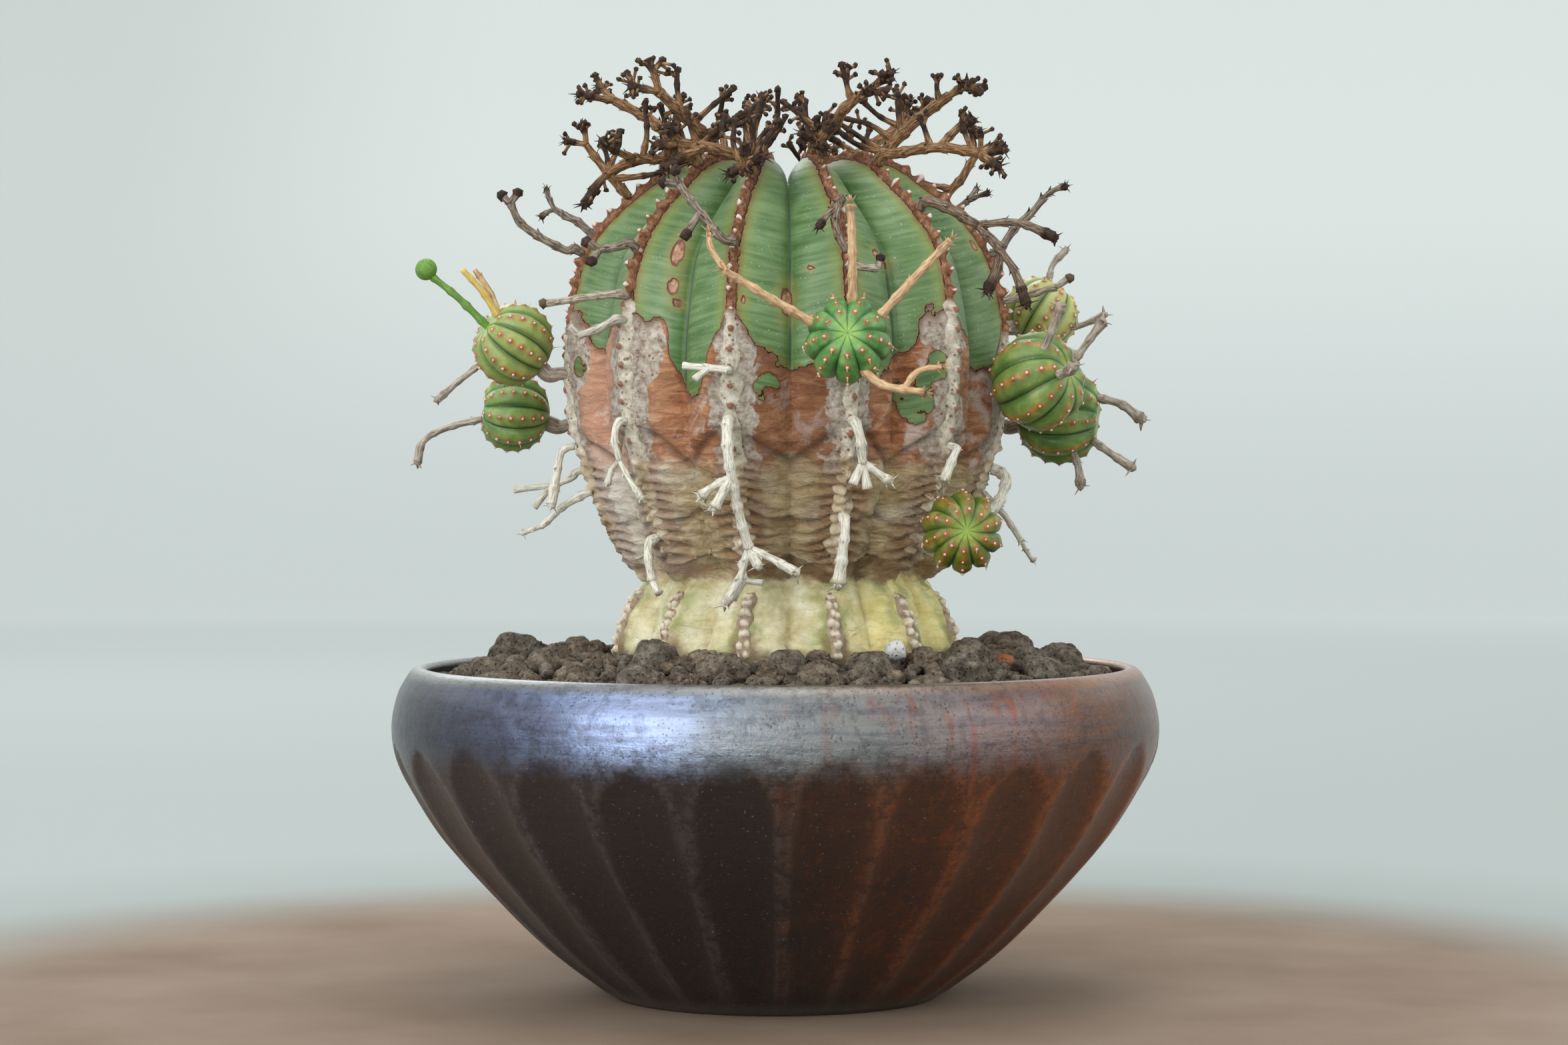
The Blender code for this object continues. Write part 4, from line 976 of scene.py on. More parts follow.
# %% Offsets: name, centre, radius, axis, ribs, twist, rib and height of the root
PUPS = [
    ("pup_left_upper", (-57.4, -16, 144.6), 9.1, (-0.75, -0.35, 0.55), 9, 12, 10, 139.7),
    ("pup_left_lower", (-59, 10, 130), 8.7, (-0.95, -0.1, 0.1), 9, 10, 9, 128),
    ("pup_front", (15.2, -60.2, 144), 9.1, (-0.04, -0.97, 0.2), 9, 0, 1, 140),
    ("pup_right_upper", (60.5, 18, 152.7), 8.5, (0.6, 0.1, 0.8), 8, 10, 4, 150),
    ("pup_right_front", (57, -24, 136.3), 10.7, (0.72, -0.55, 0.22), 8, 30, 3, 133),
    ("pup_right_lower", (63.9, 6, 129.3), 10.8, (0.95, -0.15, -0.1), 9, 20, 4, 127),
    ("pup_low_right", (39.9, -36.8, 103.8), 8.7, (0.1, -0.99, 0.08), 10, 25, 2, 102),
]
PUP_NECK = 2.0
PUP_NECK_RISE = 2.8
SADDLE = 1.3
PUP_ROOM = 1.5

PUP_STALKS = {
    "pup_left_upper": [
        (1, [(-62, -18, 147.5), (-69, -19, 154.5), (-75.3, -19.5, 159.6)]),
        (0.9, [(-59.5, -18.5, 149), (-63.8, -20.5, 156), (-68, -22, 160.6)]),
        (0.8, [(-60, -14, 150), (-62.6, -13, 156), (-66, -12.5, 161)]),
        (0.8, [(-64.5, -18, 140), (-70, -20, 135.5), (-73.4, -21, 132.4)]),
    ],
    "pup_left_lower": [
        (0.9, [(-66, 9.5, 128.5), (-74, 9, 126.5), (-79.2, 8.5, 123.5),
               (-80.6, 8.2, 118.7)]),
    ],
    "pup_front": [
        (1.1, [(9, -62, 147), (-2, -66.5, 153.2), (-10.5, -68, 158.2)]),
        (0.8, [(-10, -67.9, 157.9), (-13, -67, 162.6), (-13.6, -66.5, 166)]),
        (1.1, [(16, -62, 151), (16, -65, 160), (15.6, -66, 172)]),
        (1.1, [(21, -62, 148.2), (28.5, -64.5, 156.5), (36.3, -66, 164.6)]),
        (1.1, [(17.5, -63, 138.5), (22.5, -66.5, 134.6), (31, -67.5, 133.2)]),
        (0.8, [(26.5, -67, 133.8), (29.5, -67.8, 137.5), (34.3, -68.2, 138.4)]),
    ],
    "pup_right_upper": [
        (0.8, [(66, 15, 149), (70, 12.5, 150), (74, 10, 152)]),
        (0.8, [(62, 18, 159), (63, 19, 163.5), (66, 20, 167)]),
    ],
    "pup_right_front": [
        (1.1, [(57.5, -30, 142), (59.5, -33.5, 147.5), (61, -34.5, 152)]),
        (1.2, [(60, -30.5, 137.8), (62, -35, 137.8), (63.4, -39.5, 139.2)]),
        (1, [(64.5, -26, 140.5), (68, -28.5, 145.5), (70.5, -29, 149)]),
    ],
    "pup_right_lower": [
        (1.1, [(71.5, 3, 133.2), (77, 1.5, 131.8), (81.6, 1, 128.4)]),
        (1, [(71, 1.5, 123.5), (75, 0, 120.5), (79.4, -1, 117.6)]),
        (1, [(66.5, 2, 121), (67.6, 0.5, 117.5), (68, 0, 113.5)]),
    ],
    "pup_low_right": [],
}
SEED_POD = (-76.0, -19.6, 160.8)
SEED_POD_RADIUS = 2.5

# %% Listed stalks: rib, place on the crest, radius, path and forks
# A path's points are (sideways, outwards, upwards) from the root, a place below zero is a radius
# near the crown, and a fork starts from one of the path's points.
STALKS = [
    (11, -27, 1.4, [(-3, 5, 1.5), (-6, 14, 1.5)],
     [(1, [(-4, 5, -4), (-6, 9, -10)]), (1, [(1, 6, 1), (1, 10, 3)]), (0, [(3, 3, 4)])]),
    (11, 163, 1.2, [(-2.5, 4, 0.5), (-5.5, 6, 0)],
     [(1, [(-2.4, 1.6, 1.6)]), (1, [(-1.2, 1.4, -2.4)])]),
    (11, 156.5, 1.1, [(-4.5, 6.5, 0), (-10, 10.4, -1)], [(1, [(-3, 2.4, -0.4)])]),
    (11, 150.5, 1.1, [(-3.5, 4.5, -1.5), (-7.2, 7, -3)], [(1, [(-1.4, 1.4, 2)])]),
    (11, 127.5, 1, [(0, 4, -4), (0.5, 3, -8.5)],
     [(1, [(-2.4, 0, -2.2), (-3.6, 0, -5)]), (1, [(2.4, -0.5, -4), (5, -1.5, -8)])]),
    (11, 100.5, 1.2, [(0.8, 4, -4), (2, 4, -9.5)], [(1, [(2.6, 0.4, -2.6)])]),
    (0, -26, 1.5, [(-3, 4, 2), (-9, 7, 3.5), (-15, 8, 4.5)],
     [(1, [(-4, 4, -2), (-8, 5, -5)]), (2, [(-5, 0.5, -0.5)]), (2, [(-2, 2, 3)])]),
    (0, -33, 1.4, [(-0.5, 5, 2), (1, 8, 2.5)],
     [(1, [(4, 2.5, 1.5)]), (1, [(-3, 2.5, -2)]), (1, [(0, 2, 3.6)])]),
    (0, 162, 1.2, [(-1.5, 5, 1.5), (-6, 5.5, 7), (-11, 4, 13)],
     [(1, [(-2.5, 2, -4.5)]), (2, [(-0.5, 1.5, 3)]), (2, [(-3.4, 0.6, 0.6)])]),
    (0, 137, 1, [(-3.5, 4, 0.3), (-9, 4.5, 0.8)], [(0, [(-2.4, 2.6, -2.4)])]),
    (0, 129.5, 1.35, [(0.6, 5, -6), (1.2, 4, -12), (1.8, 1, -19), (3.3, -2.5, -27)],
     [(1, [(-4, 0.4, -2), (-6.5, 0, -4)]), (1, [(-3.6, 0.8, -6.5)]),
      (3, [(4, 0, -1.8), (10, 0, -5)]), (3, [(-2, -0.5, -6), (-5.5, -1, -12)]),
      (3, [(2.2, 0.6, -3.8)])]),
    (0, 99.5, 0.9, [(0.8, 4, -2.5), (1.4, 5, -4.5)],
     [(1, [(4, 0.4, -0.3)]), (1, [(-2.6, 0, -4)])]),
    (1, -28, 1.4, [(-2, 4.5, 3), (-3, 7, 4.5)],
     [(1, [(-3.6, 1, 1.6)]), (1, [(2.6, 1.4, 3.4)]), (1, [(0.4, 3.6, -1.6)])]),
    (1, 172.5, 1.1, [(-2, 5.5, 0), (-3.4, 9.5, -5), (-1.6, 11.5, -10)],
     [(0, [(-3, 3, -2), (-5.4, 5, -4.6)])]),
    (1, 157.5, 1, [(2.2, 4, 0.4), (5.2, 4.2, 0.2)], [(1, [(0.4, 0.2, 2.2)])]),
    (1, 126, 1.3, [(0.5, 4.4, -3), (1.8, 2.6, -9)],
     [(1, [(3, 0.4, -2), (6, 0, -4)]), (1, [(1, 0, -5.5)]), (1, [(-2.2, 0, -4.6)])]),
    (1, 106.5, 1.3, [(-0.5, 4, -5), (-1.6, 3, -14.5)], []),
    (2, -26, 1.5, [(2, 4.5, 3), (6, 13, 4), (10, 21, 2.5)],
     [(1, [(3, 2.4, 4), (6, 4, 6)]), (2, [(3, 4, 1)]), (2, [(1, 4.4, -3)])]),
    (2, 171, 1.4, [(2.4, 5, 1), (8.4, 9.5, -3)],
     [(1, [(6, 6, 0.5), (12, 11.6, -2.5)]), (1, [(3.4, 3.6, -5.8), (2, 1.4, -14)]),
      (1, [(5.2, 5.4, -9), (7.6, 7.4, -17)])]),
    (2, 121, 1, [(-2, 4, -2), (-4.6, 3.6, -7)], []),
    (3, 156.5, 1, [(0, 5, 1), (-1, 12.5, 3)], [(1, [(0, 3, 2)])]),
    (3, 119.5, 1.5, [(-3, 4.4, -3), (-8, 3, -8.5), (-12, -2, -12)], []),
    (10, 162.5, 1.1, [(0, 5, 1), (-1, 13.5, 6), (-1.6, 16.5, 11)],
     [(2, [(-1.4, 1.6, 1.8)]), (2, [(1.4, -1.4, 2.2)])]),
    (10, 122, 1, [(0, 4, -3), (1, 6, -13)], []),
    (9, 118, 1, [(0, 4.4, -2.5), (-1, 9, -4)], [(1, [(0, 4, -5)]), (1, [(1, 8.5, -1)])]),
]

# %% Stalks by rule, and the space they need
CROWN_RING = [(-14.5, 0, 21, 1.7, 14, 3), (-21.5, 1, 20, 1.6, 40, 2)]
SIDE_RINGS = [(-33, 13, 1.2, 2), (168, 14, 1.1, 2), (150, 11, 1, 1),
              (134, 12, 1, 1), (114, 12, 1, 1)]
BACK_RIBS = (3, 4, 5, 6, 7, 8, 9, 10)
KNOB = 2.4
MARGIN_LIFT = 0.36
LOWEST_STALK = 86.0
HIGHEST_STALK = 208.6
STALK_CLEAR = 0.6
TRIES = 60
SEED = 7


# %% The room round the stem
class Room:
    """What already fills the space round the stem: offsets as balls, and stalks as beads."""

    CELL = 4.0

    def __init__(self, stations):
        self.stations = stations
        self.balls = [(name, Vector(centre), radius) for name, centre, radius, *_ in PUPS]
        self.cells = {}

    def beads(self, path):
        """Beads about a millimetre apart along a path of (point, radius)."""
        for (a, first), (b, second) in zip(path, path[1:]):
            count = max(1, round((b - a).length))
            for number in range(count + 1):
                share = number / count
                yield a.lerp(b, share), first + (second - first) * share

    def off_stem(self, point):
        """How far a point stands outside the surface that the crests sweep."""
        here = Vector((math.hypot(point.x - STEM_X, point.y), point.z))
        near = min(self.stations, key=lambda s: (here - Vector((s.radius, s.height))).length)
        return (here - Vector((near.radius, near.height))).dot(near.out)

    def cell(self, point):
        return tuple(math.floor(c / self.CELL) for c in point)

    def take(self, owner, path):
        """Fill the space along a path."""
        for point, radius in self.beads(path):
            self.cells.setdefault(self.cell(point), []).append((owner, point, radius))

    def free(self, owner, root, path):
        """Whether a path, past its root, keeps clear of the stem and of all other owners."""
        for point, radius in self.beads(path):
            if not LOWEST_STALK < point.z < HIGHEST_STALK - radius:
                return False
            if (point - root).length > 5.0:
                if self.off_stem(point) < KNOB + radius + STALK_CLEAR:
                    return False
            for other, centre, reach in self.balls:
                if other != owner and (point - centre).length < reach + radius + 1.0:
                    return False
            if self.touched(owner, point, radius):
                return False
        return True

    def touched(self, owner, point, radius):
        """Whether a bead comes too near to another owner's stalk."""
        x, y, z = self.cell(point)
        for i in (x - 1, x, x + 1):
            for j in (y - 1, y, y + 1):
                for k in (z - 1, z, z + 1):
                    for other, centre, reach in self.cells.get((i, j, k), ()):
                        if other == owner:
                            continue
                        if (point - centre).length < reach + radius + STALK_CLEAR:
                            return True
        return False


# %% Roots, necks and paths
def crest_root(rib, spot):
    """The crest point and outward direction at a height, or at minus a radius near the crown."""
    if spot < 0:
        station = min(MARGIN[:12], key=lambda s: abs(s.radius + spot))
    else:
        station = min(MARGIN[3:], key=lambda s: abs(s.height - spot))
    turn = rib_turn(rib)
    crest = station.point(turn)
    return crest, (station.point(turn, lift=1.0) - crest).normalized()


def rib_axes(rib):
    """The sideways and outward directions of a rib."""
    turn = rib_turn(rib)
    return at_turn(1, 0, turn + 90), at_turn(1, 0, turn)


def neck_path(centre, radius, rib, height):
    """The short neck that carries an offset, from just above the margin to inside the globe."""
    root, normal = crest_root(rib, height)
    foot = root + normal * (SADDLE + GAP + 0.1)
    middle = Vector(centre)
    inside = foot.lerp(middle, 1.0 - 0.45 * radius / (middle - foot).length)
    bend = foot + normal * PUP_NECK_RISE
    return [(foot, PUP_NECK * 0.8), (bend, PUP_NECK), (inside, PUP_NECK)]


def from_root(root, normal):
    """The sunk foot of a stalk in its margin, and a point just clear of it."""
    return [root + normal * (MARGIN_LIFT + 0.3), root + normal * 2.9]


def with_radii(points, radius, tip):
    """Give a path radii that run down from the first to the tip's."""
    last = max(1, len(points) - 1)
    return [(p, radius + (tip - radius) * n / last) for n, p in enumerate(points)]


def knobbed(points, radius):
    """A fork or twig: slim, ending in a dried knob."""
    path = with_radii(points, radius * 0.95, radius * 0.8)
    return path[:-1] + [(points[-1], radius * 1.3)]


# %% A stalk from the list
def hand_stalk(rib, spot, radius, steps, forks):
    """A stalk of the given list, as its paths, the main one first."""
    root, normal = crest_root(rib, spot)
    side, out = rib_axes(rib)

    def shift(step):
        return side * step[0] + out * step[1] + UP * step[2]

    nodes = [root + shift(step) for step in steps]
    main = from_root(root, normal) + nodes
    paths = [with_radii(main, radius, radius * 0.8)] if forks else [knobbed(main, radius)]
    for start, fork in forks:
        points = [nodes[start]] + [nodes[start] + shift(step) for step in fork]
        paths.append(knobbed(points, radius * 0.72))
    return paths


def swung(direction, away, about):
    """A direction swung away from itself by an angle, towards a heading round it."""
    aside = Quaternion(direction, math.radians(about)) @ direction.orthogonal().normalized()
    return (direction * math.cos(math.radians(away)) + aside * math.sin(math.radians(away)))


# %% A stalk by rule
def grown_stalk(rng, root, normal, aim, length, radius, forks, twigs):
    """A stalk grown by rule: it leaves along the normal, bends to its aim and forks."""
    heading = (normal + aim).normalized()
    points = from_root(root, normal)
    for share in (0.4, 0.75, 1.0):
        wander = jitter(rng, 0.18)
        heading = (heading.lerp(aim, 0.7) + wander).normalized()
        points.append(points[-1] + heading * length * (0.4 if share < 0.5 else 0.3))
    paths = [with_radii(points, radius, radius * 0.75) if forks else knobbed(points, radius)]
    first = rng.uniform(0, 360)
    for number in range(forks):
        about = first + 360.0 * number / forks + rng.uniform(-25, 25)
        way = swung(heading, rng.uniform(28, 48), about)
        reach = length * rng.uniform(0.3, 0.48)
        start = points[-1] if number < 2 else points[-2]
        bent = (way + jitter(rng, 0.3)).normalized()
        limb = [start, start + way * reach * 0.55, start + way * reach * 0.55 + bent * reach * 0.45]
        paths.append(knobbed(limb, radius * 0.6))
        for _ in range(twigs):
            sprig = swung(bent, rng.uniform(45, 75), rng.uniform(0, 360))
            start_twig = limb[1].lerp(limb[2], rng.uniform(0.1, 0.7))
            tip = start_twig + sprig * rng.uniform(3.2, 4.6)
            paths.append(with_radii([start_twig, tip], radius * 0.42, radius * 0.5))
    return paths


def try_stalk(rng, room, owner, root, normal, aim_of, *habit):
    """Grow a stalk until one keeps clear of the rest, or give up."""
    for _ in range(TRIES):
        paths = grown_stalk(rng, root, normal, aim_of(rng), *habit)
        if all(room.free(owner, root, path) for path in paths):
            for path in paths:
                room.take(owner, path)
            return [paths]
    return []


# %% Crown and side stalks
def crown_stalks(rng, room, bundles):
    """The thick forked stalks that stand up round the growing tip."""
    for spot, odd, length, radius, lean, forks in CROWN_RING:
        for rib in range(odd, RIBS, 2):
            root, normal = crest_root(rib, spot)
            _, out = rib_axes(rib)

            def aim(draw, out=out, lean=lean):
                tilt = math.radians(lean + draw.uniform(-12, 14))
                return swung(UP * math.cos(tilt) + out * math.sin(tilt), draw.uniform(0, 12),
                             draw.uniform(0, 360))

            bundles[rib] += try_stalk(rng, room, f"rib_{rib}", root, normal, aim,
                                      length * rng.uniform(0.8, 1.05), radius, forks, 1)


def side_stalks(rng, room, bundles):
    """Slimmer stalks down the ribs at the sides and back, thinning out downwards."""
    for level, (spot, length, radius, forks) in enumerate(SIDE_RINGS):
        for rib in BACK_RIBS:
            if (rib + level) % 2:
                continue
            place_at = spot + rng.uniform(-2.5, 2.5)
            root, normal = crest_root(rib, place_at)
            droop = -0.25 * level + 0.35

            def aim(draw, normal=normal, droop=droop):
                sway = jitter(draw, 0.45)
                return (normal + sway + UP * droop).normalized()

            bundles[rib] += try_stalk(rng, room, f"rib_{rib}", root, normal, aim,
                                      length * rng.uniform(0.8, 1.15), radius, forks, 0)


# %% All stalks
def all_stalks(room):
    """Every rib's stalks, the listed ones first so that the grown ones keep clear."""
    rng = random.Random(SEED)
    bundles = {rib: [] for rib in range(RIBS)}
    for name, centre, radius, _, _, _, rib, height in PUPS:
        room.take(name, neck_path(centre, radius, rib, height))
    for name, stalks in PUP_STALKS.items():
        for radius, points in stalks:
            room.take(name, [(Vector(p), radius) for p in points])
    for rib, spot, radius, steps, forks in STALKS:
        paths = hand_stalk(rib, spot, radius, steps, forks)
        for path in paths:
            room.take(f"rib_{rib}", path)
        bundles[rib].append(paths)
    crown_stalks(rng, room, bundles)
    side_stalks(rng, room, bundles)
    return bundles


ROOM = Room(STATIONS)
BUNDLES = all_stalks(ROOM)
print("stalks on the ribs:", sum(len(stalks) for stalks in BUNDLES.values()))

# %% [markdown]
# ## Pulling a shape along a path
# Stalks and corky margins are all one face pulled along a path. The bmesh extrude operator does
# it: draw the first section as a face, extrude it, move the new corners to the next section,
# and go on. The ends stay closed by themselves. Each corner carries a few marks for the finish:
# how old and dry it is, how near a tip, and where it lies across the stalk.

# %% Sections pulled into solids
MARKS = ("age", "tip", "bark", "grain_x", "grain_y", "along")


def heaped(into, small):
    """Add a small bmesh to a larger one and let it go."""
    bmesh.ops.recalc_face_normals(small, faces=small.faces)
    mesh = bpy.data.meshes.new("small")
    small.to_mesh(mesh)
    small.free()
    into.from_mesh(mesh)
    bpy.data.meshes.remove(mesh)


def marked_bmesh(names=MARKS):
    """An empty bmesh and its mark layers."""
    bm = bmesh.new()
    return bm, {name: bm.verts.layers.float.new(name) for name in names}


def write_marks(vert, layers, marks):
    """Set a vertex's marks; those not given stay 0."""
    for name, value in marks.items():
        vert[layers[name]] = value


# %% A body through sections
def swept(sections):
    """A closed body through like sections of (point, marks): one face, extruded and moved."""
    bm, layers = marked_bmesh()
    order = bm.verts.layers.int.new("order")
    face = bm.faces.new([bm.verts.new(point) for point, _ in sections[0]])
    for number, vert in enumerate(face.verts):
        vert[order] = number
    for number, section in enumerate(sections):
        if number:
            last = face
            pulled = bmesh.ops.extrude_face_region(bm, geom=[last])["geom"]
            face = next(item for item in pulled if isinstance(item, bmesh.types.BMFace))
            if number > 1:
                bm.faces.remove(last)
        for vert in face.verts:
            vert.co, marks = section[vert[order]]
            write_marks(vert, layers, marks)
    bm.verts.layers.int.remove(order)
    return bm


def frames_along(points):
    """A tangent and two crossways directions at each point, carried along without twist."""
    ahead = [(b - a).normalized() for a, b in zip(points, points[1:])]
    tangents = [ahead[0]] + [(a + b).normalized() for a, b in zip(ahead, ahead[1:])] + [ahead[-1]]
    across = tangents[0].orthogonal().normalized()
    for tangent in tangents:
        across = (across - tangent * across.dot(tangent)).normalized()
        yield tangent, across, tangent.cross(across)


# %% [markdown]
# ## A dried stalk
# A dried flower stalk is a jointed twig. It swells a little at each joint, where two dry scales
# clasp it, and its skin is fibrous. The path's coarse points are smoothed by a curve; the radius
# then follows the joints, and its sections are slightly uneven, so that no stalk is a pipe.

# %% Limbs, scales and tips
LIMB_STEP = 0.62
LIMB_SIDES = 8
JOINT_PITCH = 4.6
SHOOTS = 4


def radius_along(path, share):
    """The plain radius of a path at a share of its length."""
    lengths = [0.0]
    for (a, _), (b, _) in zip(path, path[1:]):
        lengths.append(lengths[-1] + (b - a).length)
    table = [(length / lengths[-1], radius) for length, (_, radius) in zip(lengths, path)]
    return mix(table, share)


def limb(heap, rng, path, age, tip, joints=True, burnt_from=0.62):
    """One jointed stalk along a path of (point, radius). Returns its joints as frames."""
    points = curve_through([tuple(p) for p, _ in path], LIMB_STEP)
    length = LIMB_STEP * (len(points) - 1)
    first_joint = rng.uniform(0.3, 0.7) * JOINT_PITCH
    seed = rng.uniform(0.0, 50.0)
    sections, found = [], []
    for number, (frame_here, point) in enumerate(zip(frames_along(points), points)):
        tangent, across, side = frame_here
        share = number / (len(points) - 1)
        gone = share * length
        plain = radius_along(path, share)
        phase = ((gone - first_joint) / JOINT_PITCH + 0.5) % 1.0 - 0.5
        ring = bell(phase * JOINT_PITCH, 0.0, 0.62) if joints else 0.0
        if ring > 0.8:
            found.append((point, tangent, across, side, plain))
        radius = plain * (0.9 + 0.24 * ring)
        section = []
        for corner in range(LIMB_SIDES):
            angle = math.tau * corner / LIMB_SIDES
            uneven = 1.0 + 0.1 * rough_at(Vector((angle, gone / 3.0, seed)), 1.0, seed)
            offset = radius * uneven * (math.cos(angle) * across + math.sin(angle) * side)
            dark = tip * fade(burnt_from, min(1.0, burnt_from + 0.5), share) + 0.35 * ring
            section.append((point + offset, {
                "age": age, "tip": min(1.0, dark),
                "grain_x": radius * math.cos(angle), "grain_y": radius * math.sin(angle),
                "along": gone + seed}))
        sections.append(section)
    heaped(heap, swept(sections))
    return found


# %% Scales and crumbs
def scale(heap, place, pointing, length, width, age, tip):
    """A dry bract: a four-sided cone, flattened, standing off a stalk."""
    small, layers = marked_bmesh()
    bmesh.ops.create_cone(small, segments=4, radius1=width / 2, radius2=width * 0.08, depth=length,
                          cap_ends=True, matrix=Matrix.Translation((0, 0, length * 0.42)))
    for vert in small.verts:
        write_marks(vert, layers, {"age": age, "tip": tip, "along": vert.co.z,
                                   "grain_x": vert.co.x, "grain_y": vert.co.y})
    flat = Matrix.Diagonal((1.0, 0.42, 1.0, 1.0))
    small.transform(Matrix.Translation(place) @ facing(pointing) @ flat)
    heaped(heap, small)


def crumb(heap, rng, place, radius, age, tip):
    """A dry knob: a small icosphere with its corners moved."""
    small, layers = marked_bmesh()
    bmesh.ops.create_icosphere(small, subdivisions=1, radius=radius)
    for vert in small.verts:
        vert.co *= rng.uniform(0.72, 1.22)
        write_marks(vert, layers, {"age": age, "tip": tip})
    small.transform(Matrix.Translation(place))
    heaped(heap, small)


def clasp(heap, rng, joints, age, tip, size=1.0):
    """Two dry scales at each joint, one on either side."""
    for point, tangent, across, side, radius in joints:
        about = rng.uniform(0.0, math.pi)
        for turn in (about, about + math.pi):
            out = math.cos(turn) * across + math.sin(turn) * side
            pointing = (tangent * 0.9 + out * rng.uniform(0.6, 1.2)).normalized()
            scale(heap, point + out * radius * 0.75, pointing, size * rng.uniform(0.9, 1.5),
                  size * 0.95, age, tip)


# %% Twigs and flower ends
def twig(heap, rng, start, pointing, length, radius, age):
    """A tiny side twig that ends in a black knob, kept below the solid's top."""
    middle = start + pointing * length * 0.55
    bend = jitter(rng, 0.35)
    end = middle + (pointing + bend).normalized() * length * 0.45
    if end.z + 1.4 * radius > TOP_MM:
        return
    limb(heap, rng, [(start, radius), (middle, radius * 0.9), (end, radius * 1.05)], age, 1.0,
         joints=False)
    crumb(heap, rng, end, radius * 1.55, age, 1.0)


def flower_end(heap, rng, path, age, full):
    """What is left of a flower at a stalk's tip: a ring of scales round a dark crumb."""
    end, radius = path[-1]
    heading = (end - path[-2][0]).normalized()
    if end.z + 2.2 * radius > TOP_MM:
        return
    dark = 1.0 if age < 0.75 else 0.45
    crumb(heap, rng, end, radius * 0.92, age, dark)
    about = rng.uniform(0, 360)
    count = 6 if full else 3
    for number in range(count):
        way = swung(heading, rng.uniform(28, 95), about + 360.0 * number / count)
        scale(heap, end + way * radius * 0.35, way, radius * rng.uniform(1.3, 2.1),
              radius * 0.95, age, dark * rng.uniform(0.55, 1.0))


def shoots(heap, rng, path, age):
    """Thin upright side stalks of a crown stalk, each with a head of black knobs."""
    for count in range(SHOOTS):
        inward = count < 2
        number = 1 if inward else rng.randrange(1, len(path) - 1)
        start = path[number][0].lerp(path[number + 1][0], rng.random())
        outward = Vector((start.x - STEM_X, start.y, 0.0)).normalized()
        lean = rng.uniform(-1.0, -0.35) if inward else rng.uniform(-0.5, 0.4)
        crossing = Vector((0.055 * (STEM_X - start.x) if inward else 0.0, 0.0, 0.0))
        way = (UP + outward * lean + crossing + jitter(rng, 0.3)).normalized()
        reach = rng.uniform(11.0, 17.0) if inward else rng.uniform(6.5, 12.5)
        length = min(reach, (TOP_MM - start.z - 3.2) / max(0.3, way.z))
        if length < 4.0:
            continue
        side = jitter(rng, 0.22)
        bend = start + way * length * 0.5 + side * length * 0.5
        end = start + way * length
        limb(heap, rng, [(start, 0.85), (bend, 0.62), (end, 0.62)], age, 0.9, burnt_from=0.15)
        for _ in range(3):
            at = bend.lerp(end, rng.uniform(0.2, 1.0))
            aside = swung(way, rng.uniform(35, 85), rng.uniform(0, 360))
            twig(heap, rng, at, aside, rng.uniform(1.6, 3.2), 0.42, age)
        crumb(heap, rng, end, 0.95, age, 1.0)


# %% A dressed stalk
def dress_stalk(heap, rng, paths, crown):
    """One stalk of a rib with its forks, joints, scales and flower ends."""
    root = paths[0][0][0]
    age = fade(182.0, 132.0, root.z)
    limbs = [path for path in paths if len(path) > 2 or path[0][1] > 0.9]
    for number, path in enumerate(paths):
        leading = number == 0
        thin = path not in limbs
        has_end = not leading or len(paths) == 1
        tip = (0.85 if age < 0.6 else 0.35) if has_end else 0.0
        joints = limb(heap, rng, path, age, tip, joints=not thin, burnt_from=0.3 if crown else 0.62)
        clasp(heap, rng, joints, age, 0.75 * (1.0 - age) + 0.1, 0.75 if thin else 1.0)
        if has_end and not thin:
            flower_end(heap, rng, path, age, full=age < 0.75)
        if thin and age < 0.6:
            crumb(heap, rng, path[-1][0], path[-1][1] * 1.3, age, 1.0)
        if crown and leading:
            shoots(heap, rng, path, age)
        if crown and age < 0.6 and not leading:
            start, end = path[-2][0], path[-1][0]
            for _ in range(4):
                at = start.lerp(end, rng.uniform(0.0, 0.95))
                way = swung((end - start).normalized(), rng.uniform(40, 85), rng.uniform(0, 360))
                twig(heap, rng, at, way, rng.uniform(1.8, 3.6), 0.42, age)


# %% [markdown]
# ## The corky margins
# Along each crest runs a strip of cork with a row of knobs, each the scar of an old flower
# stalk. On the green part it is narrow and red-brown, and the knobs have shiny tips with a painted
# pale highlight. Further down it grows wide, white and lumpy, and at last it folds into short
# pleats. The strip is a section pulled down the crest, whose height over the skin is a sum of
# bumps.

# %% Margin relief
STRIP_STEP = 0.56
STRIP_POINTS = 13
STRIP_SUNK = 0.55
KNOB_PITCH = 4.1
WHITE_CORK = {11: (151, 119, 1.9), 0: (148, 120, 1.2), 2: (151, 133, 1.6),
              1: (146, 128, 0.8), 10: (147, 126, 1.2), 3: (146, 132, 1)}
WHITE_CORK_ELSEWHERE = (148.0, 124.0, 1.1)


def near_pup(rib, height):
    """1 beside an offset's root, where the margin stays low, else 0."""
    for _, centre, radius, _, _, _, pup_rib, _ in PUPS:
        if pup_rib == rib:
            gap = abs(height - centre[2]) - radius - PUP_ROOM
            if gap < 2.0:
                return fade(2.0, -1.0, gap)
    return 0.0


def knob_marks(rng, length, pitch):
    """The knobs of a margin: place along it, place across it, and size."""
    places = []
    at = pitch * rng.uniform(0.4, 0.7)
    while at < length:
        places.append((at, rng.uniform(-0.45, 0.45), rng.uniform(0.8, 1.15)))
        at += pitch * rng.uniform(0.86, 1.14)
    return places


